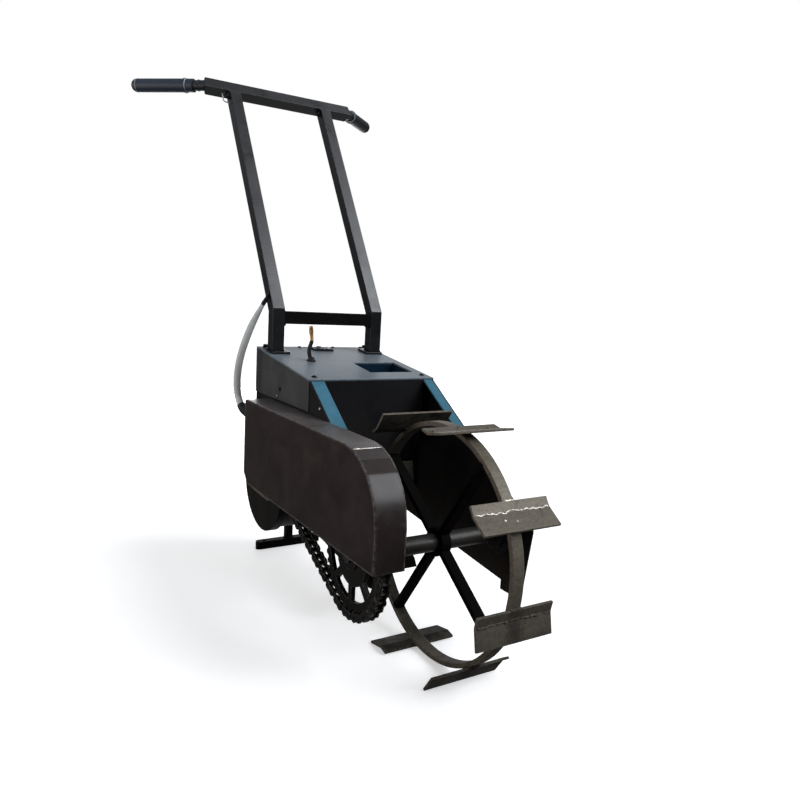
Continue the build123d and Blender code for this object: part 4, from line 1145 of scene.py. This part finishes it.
class TILLER_OT_switch(bpy.types.Operator):
    """Fit the key barrel, two small screws and the lamp on the switch plate"""

    bl_idname = "tiller.switch"
    bl_label = "Key switch"

    PLATE_BACK = 479
    PLATE_SIDE = 2
    PLATE_HEIGHT = 4
    # Places from the plate's middle, to its left, and the screws' place behind it, in millimetres
    BARREL_OUT = -8
    SCREW_OUT = -18
    SCREW_BACK = 7
    LAMP_OUT = 13

    def execute(self, context):
        barrel = bmesh.new()
        spot = on_top(self.PLATE_BACK, self.PLATE_SIDE + self.BARREL_OUT, self.PLATE_HEIGHT)
        profile = (
            (0.0085, 0), (0.0085, 0.0012), (0.0078, 0.002), (0.0062, 0.002),
            (0.0060, 0.0032), (0.0052, 0.0036), (0.0050, 0.0024),
        )
        turned(barrel, facing(spot, TOP_NORMAL), profile, 28)
        for turn in (-1, 1):
            back = self.PLATE_BACK + turn * self.SCREW_BACK
            corner = on_top(back, self.PLATE_SIDE + self.SCREW_OUT, self.PLATE_HEIGHT)
            button_screw(barrel, corner, TOP_NORMAL, 0.002)
        dress(mesh_piece("switch_barrel", barrel), "frame", "zinc")
        lens = bmesh.new()
        spot = on_top(self.PLATE_BACK, self.PLATE_SIDE + self.LAMP_OUT, self.PLATE_HEIGHT)
        dome = [(0.0046, 0)]
        for step in range(6):
            swing = math.radians(15 * step)
            dome.append((0.0042 * math.cos(swing), 0.0012 + 0.003 * math.sin(swing)))
        turned(lens, facing(spot, TOP_NORMAL), dome, 20)
        dress(mesh_piece("switch_lamp", lens), "frame", "lens")
        return {"FINISHED"}


class TILLER_OT_lead(bpy.types.Operator):
    """Fit the power lead's grommet, its crimp and its bare strands"""

    bl_idname = "tiller.lead"
    bl_label = "Power lead"

    BACK = 380
    SIDE = -68
    HEIGHT = 40
    TERMINAL_LEAN = math.radians(6)
    TERMINAL_LENGTH = 30
    STRANDS = 7
    STRAND_RADIUS = 0.0008
    # Steps along a strand, and how far it twists, in radians
    STEPS = 12
    TWIST = 2.4
    # Where the strands start and how far they stop short of the terminal's end, in millimetres
    CRIMP_END = 10
    SHORT = 0.5

    def execute(self, context):
        rubber = bmesh.new()
        grommet = (
            (0.0040, 0), (0.0085, 0), (0.0092, 0.0012), (0.0088, 0.0026), (0.0066, 0.0036),
            (0.0060, 0.0065), (0.0052, 0.0080), (0.0040, 0.0080),
        )
        turned(rubber, facing(on_top(self.BACK, self.SIDE), TOP_NORMAL), grommet, 28, ends=False)
        dress(mesh_piece("lead_grommet", rubber), "frame", "black_rubber")
        run = Vector((0, -math.sin(self.TERMINAL_LEAN), math.cos(self.TERMINAL_LEAN)))
        foot = on_top(self.BACK, self.SIDE) + Vector((0, 0, self.HEIGHT / 1000))
        base = facing(foot, run)
        brass = bmesh.new()
        crimp = (
            (0.0031, 0.001), (0.0037, 0.002), (0.0037, 0.0045), (0.0033, 0.005), (0.0033, 0.006),
            (0.0037, 0.0065), (0.0037, 0.009), (0.0031, 0.010),
        )
        turned(brass, base, crimp, 20)
        reach = self.TERMINAL_LENGTH - self.CRIMP_END - self.SHORT
        for strand in range(self.STRANDS):
            rings = []
            for step in range(self.STEPS + 1):
                along = step / self.STEPS
                swing = 2 * math.pi * strand / self.STRANDS + self.TWIST * along
                fan = 0.0027 + 0.0009 * math.sin(math.pi * along)
                height = (self.CRIMP_END + reach * along) / 1000
                middle = Vector((fan * math.cos(swing), fan * math.sin(swing), height))
                rings.append(ring(brass, base @ Matrix.Translation(middle), self.STRAND_RADIUS, 6))
            skin_rings(brass, rings, True)
        dress(mesh_piece("lead_strands", brass), "frame", "terminal_brass")
        return {"FINISHED"}


class TILLER_OT_studio(bpy.types.Operator):
    """Set the pale floor, the soft lights and the camera"""

    bl_idname = "tiller.studio"
    bl_label = "Studio"

    # Fitted to the photograph: place from the wheel's middle in metres, and the view's forward and right
    CAMERA_PLACE = Vector((0.9130, -0.6578, 0.3979))
    FORWARD = Vector((-0.84016, 0.52234, -0.14591))
    RIGHT = Vector((0.52039, 0.85220, 0.05436))
    LENS = 31.79
    SENSOR = 36
    CLIP_END = 200
    # Columns: how far up a direction looks, from -1 straight down to 1 overhead, and the room's light there
    ROOM = ((-1.0, 0.04), (-0.1, 0.06), (0.15, 0.13), (0.5, 0.4), (1.0, 0.3))
    ROOM_TINT = (0.94, 0.98, 1.04)
    # A pale screen low behind the left side, which the black rear plates mirror: where, reach, brightness
    SCREEN_FROM = Vector((-0.6, 0.45, -0.66)).normalized()
    SCREEN_REACH = (0.6, 0.95)
    SCREEN_LIGHT = 0.45
    # What the camera sees behind the object, and the floor's own glow, which keeps it as pale
    BACKDROP = 1.0
    FLOOR_GLOW = 0.4
    # The key light: where it comes from, its strength, how soft it is and its tint
    KEY_FROM = Vector((0.55, 0.55, 0.63))
    KEY_STRENGTH = 2.4
    KEY_SPREAD = math.radians(40)
    KEY_TINT = (0.95, 0.98, 1.03)
    # Columns: softbox, place in metres, width, power, tint
    SOFTBOXES = (
        ("back", (-2.7, 1.5, 1.1), 1.8, 8, (1.0, 1.0, 1.0)),
        ("rear", (-2.8, 0.9, 0.3), 1.6, 30, (1.0, 1.0, 1.0)),
        ("side", (-0.3, -3.0, 0.25), 2.6, 72, (1.0, 0.94, 0.9)),
    )

    def lay_floor(self, half):
        """Lay the pale floor, which takes shadows and throws no light up at the dark underside."""
        bm = bmesh.new()
        bmesh.ops.create_grid(bm, x_segments=1, y_segments=1, size=half)
        floor = mesh_piece("floor", bm)
        material, tree, coordinates = new_material("painted floor pale")
        grain = add_node(
            tree, "ShaderNodeTexNoise", {"Vector": coordinates, "Scale": per_mm(400), "Detail": 3})
        tone = add_node(
            tree, "ShaderNodeMix",
            {"Factor": grain, "A": linear("f6f6f5"), "B": linear("fafaf9")}, data_type="RGBA")
        shader = add_node(
            tree, "ShaderNodeBsdfPrincipled",
            {"Base Color": tone, "Roughness": 0.8, "Emission Color": (1, 1, 1, 1),
             "Emission Strength": self.FLOOR_GLOW})
        add_node(tree, "ShaderNodeOutputMaterial", {"Surface": shader})
        floor.data.materials.append(material)
        floor.visible_diffuse = False
        floor.visible_glossy = False

    def light_room(self, scene):
        """Put a soft room with its pale screen all round, and a white backdrop where the camera looks."""
        world = bpy.data.worlds.new("studio")
        scene.world = world
        world.use_nodes = True
        tree = world.node_tree
        outward = add_node(tree, "ShaderNodeTexCoord").outputs["Generated"]
        upward = add_node(tree, "ShaderNodeSeparateXYZ", {"Vector": outward})
        place = add_node(
            tree, "ShaderNodeMapRange", {"Value": upward.outputs["Z"], "From Min": -1.0, "From Max": 1.0})
        room = add_node(tree, "ShaderNodeValToRGB", {"Fac": place})
        stops = room.color_ramp.elements
        while len(stops) < len(self.ROOM):
            stops.new(0.5)
        for stop, (level, light) in zip(stops, self.ROOM):
            stop.position = (level + 1) / 2
            stop.color = [light * tint for tint in self.ROOM_TINT] + [1]
        towards = add_node(
            tree, "ShaderNodeVectorMath", {0: outward, 1: self.SCREEN_FROM}, operation="DOT_PRODUCT")
        start, full = self.SCREEN_REACH
        screen = add_node(
            tree, "ShaderNodeMapRange",
            {"Value": towards, "From Min": start, "From Max": full},
            interpolation_type="SMOOTHSTEP")
        lit = add_node(
            tree, "ShaderNodeMix",
            {"Factor": screen, "A": room, "B": [self.SCREEN_LIGHT] * 3 + [1]},
            data_type="RGBA")
        seen = add_node(tree, "ShaderNodeLightPath").outputs["Is Camera Ray"]
        glow = add_node(
            tree, "ShaderNodeMix",
            {"Factor": seen, "A": lit, "B": [self.BACKDROP] * 3 + [1]}, data_type="RGBA")
        tree.links.new(glow.outputs["Result"], tree.nodes["Background"].inputs["Color"])
        scene.view_settings.view_transform = "Standard"

    def hang_lights(self, collection):
        """Hang the key light and the softboxes, which look at the wheel's middle."""
        key = bpy.data.lights.new("key", "SUN")
        key.energy = self.KEY_STRENGTH
        key.angle = self.KEY_SPREAD
        key.color = self.KEY_TINT
        light = bpy.data.objects.new("key", key)
        light.rotation_euler = (-self.KEY_FROM).to_track_quat("-Z", "Y").to_euler()
        collection.objects.link(light)
        for name, place, width, power, tint in self.SOFTBOXES:
            softbox = bpy.data.lights.new(name, "AREA")
            softbox.size = width
            softbox.energy = power
            softbox.color = tint
            light = bpy.data.objects.new(name, softbox)
            light.location = place
            light.rotation_euler = (HUB - light.location).to_track_quat("-Z", "Y").to_euler()
            collection.objects.link(light)

    def execute(self, context):
        self.lay_floor(context.scene.tiller_sizes.floor)
        self.light_room(context.scene)
        self.hang_lights(context.collection)
        camera = bpy.data.objects.new("camera", bpy.data.cameras.new("camera"))
        camera.data.sensor_width = self.SENSOR
        camera.data.lens = self.LENS
        camera.data.clip_end = self.CLIP_END
        up = self.RIGHT.cross(self.FORWARD)
        turn = Matrix((self.RIGHT, up, -self.FORWARD)).transposed().to_4x4()
        camera.matrix_world = Matrix.Translation(HUB + self.CAMERA_PLACE) @ turn
        context.collection.objects.link(camera)
        context.scene.camera = camera
        return {"FINISHED"}


OPERATORS = (
    TILLER_OT_finishes,
    TILLER_OT_conduit,
    TILLER_OT_cover,
    TILLER_OT_case_rib,
    TILLER_OT_fasteners,
    TILLER_OT_chain_pins,
    TILLER_OT_wheel_welds,
    TILLER_OT_frame_welds,
    TILLER_OT_grip_rings,
    TILLER_OT_switch,
    TILLER_OT_lead,
    TILLER_OT_studio,
)


class TILLER_PT_sidebar(bpy.types.Panel):
    """Lists the tiller's pieces, colours and sizes"""

    bl_label = "Battery mini tiller"
    bl_idname = "TILLER_PT_sidebar"
    bl_space_type = "VIEW_3D"
    bl_region_type = "UI"
    bl_category = "Tiller"

    def draw(self, context):
        for operator in OPERATORS:
            self.layout.operator(operator.bl_idname)
        for group in (context.scene.tiller_colours, context.scene.tiller_sizes):
            for name in group.__annotations__:
                self.layout.prop(group, name)


CLASSES = (TillerColours, TillerSizes, *OPERATORS, TILLER_PT_sidebar)


def register():
    for kind in CLASSES:
        bpy.utils.register_class(kind)
    bpy.types.Scene.tiller_colours = bpy.props.PointerProperty(type=TillerColours)
    bpy.types.Scene.tiller_sizes = bpy.props.PointerProperty(type=TillerSizes)


def unregister():
    del bpy.types.Scene.tiller_sizes
    del bpy.types.Scene.tiller_colours
    for kind in reversed(CLASSES):
        bpy.utils.unregister_class(kind)


def main():
    """Register the add-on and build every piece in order."""
    register()
    bpy.ops.tiller.finishes()
    bpy.ops.tiller.conduit()
    bpy.ops.tiller.cover()
    bpy.ops.tiller.case_rib()
    bpy.ops.tiller.fasteners()
    bpy.ops.tiller.chain_pins()
    bpy.ops.tiller.wheel_welds()
    bpy.ops.tiller.frame_welds()
    bpy.ops.tiller.grip_rings()
    bpy.ops.tiller.switch()
    bpy.ops.tiller.lead()
    bpy.ops.tiller.studio()


if __name__ == "__main__":
    main()
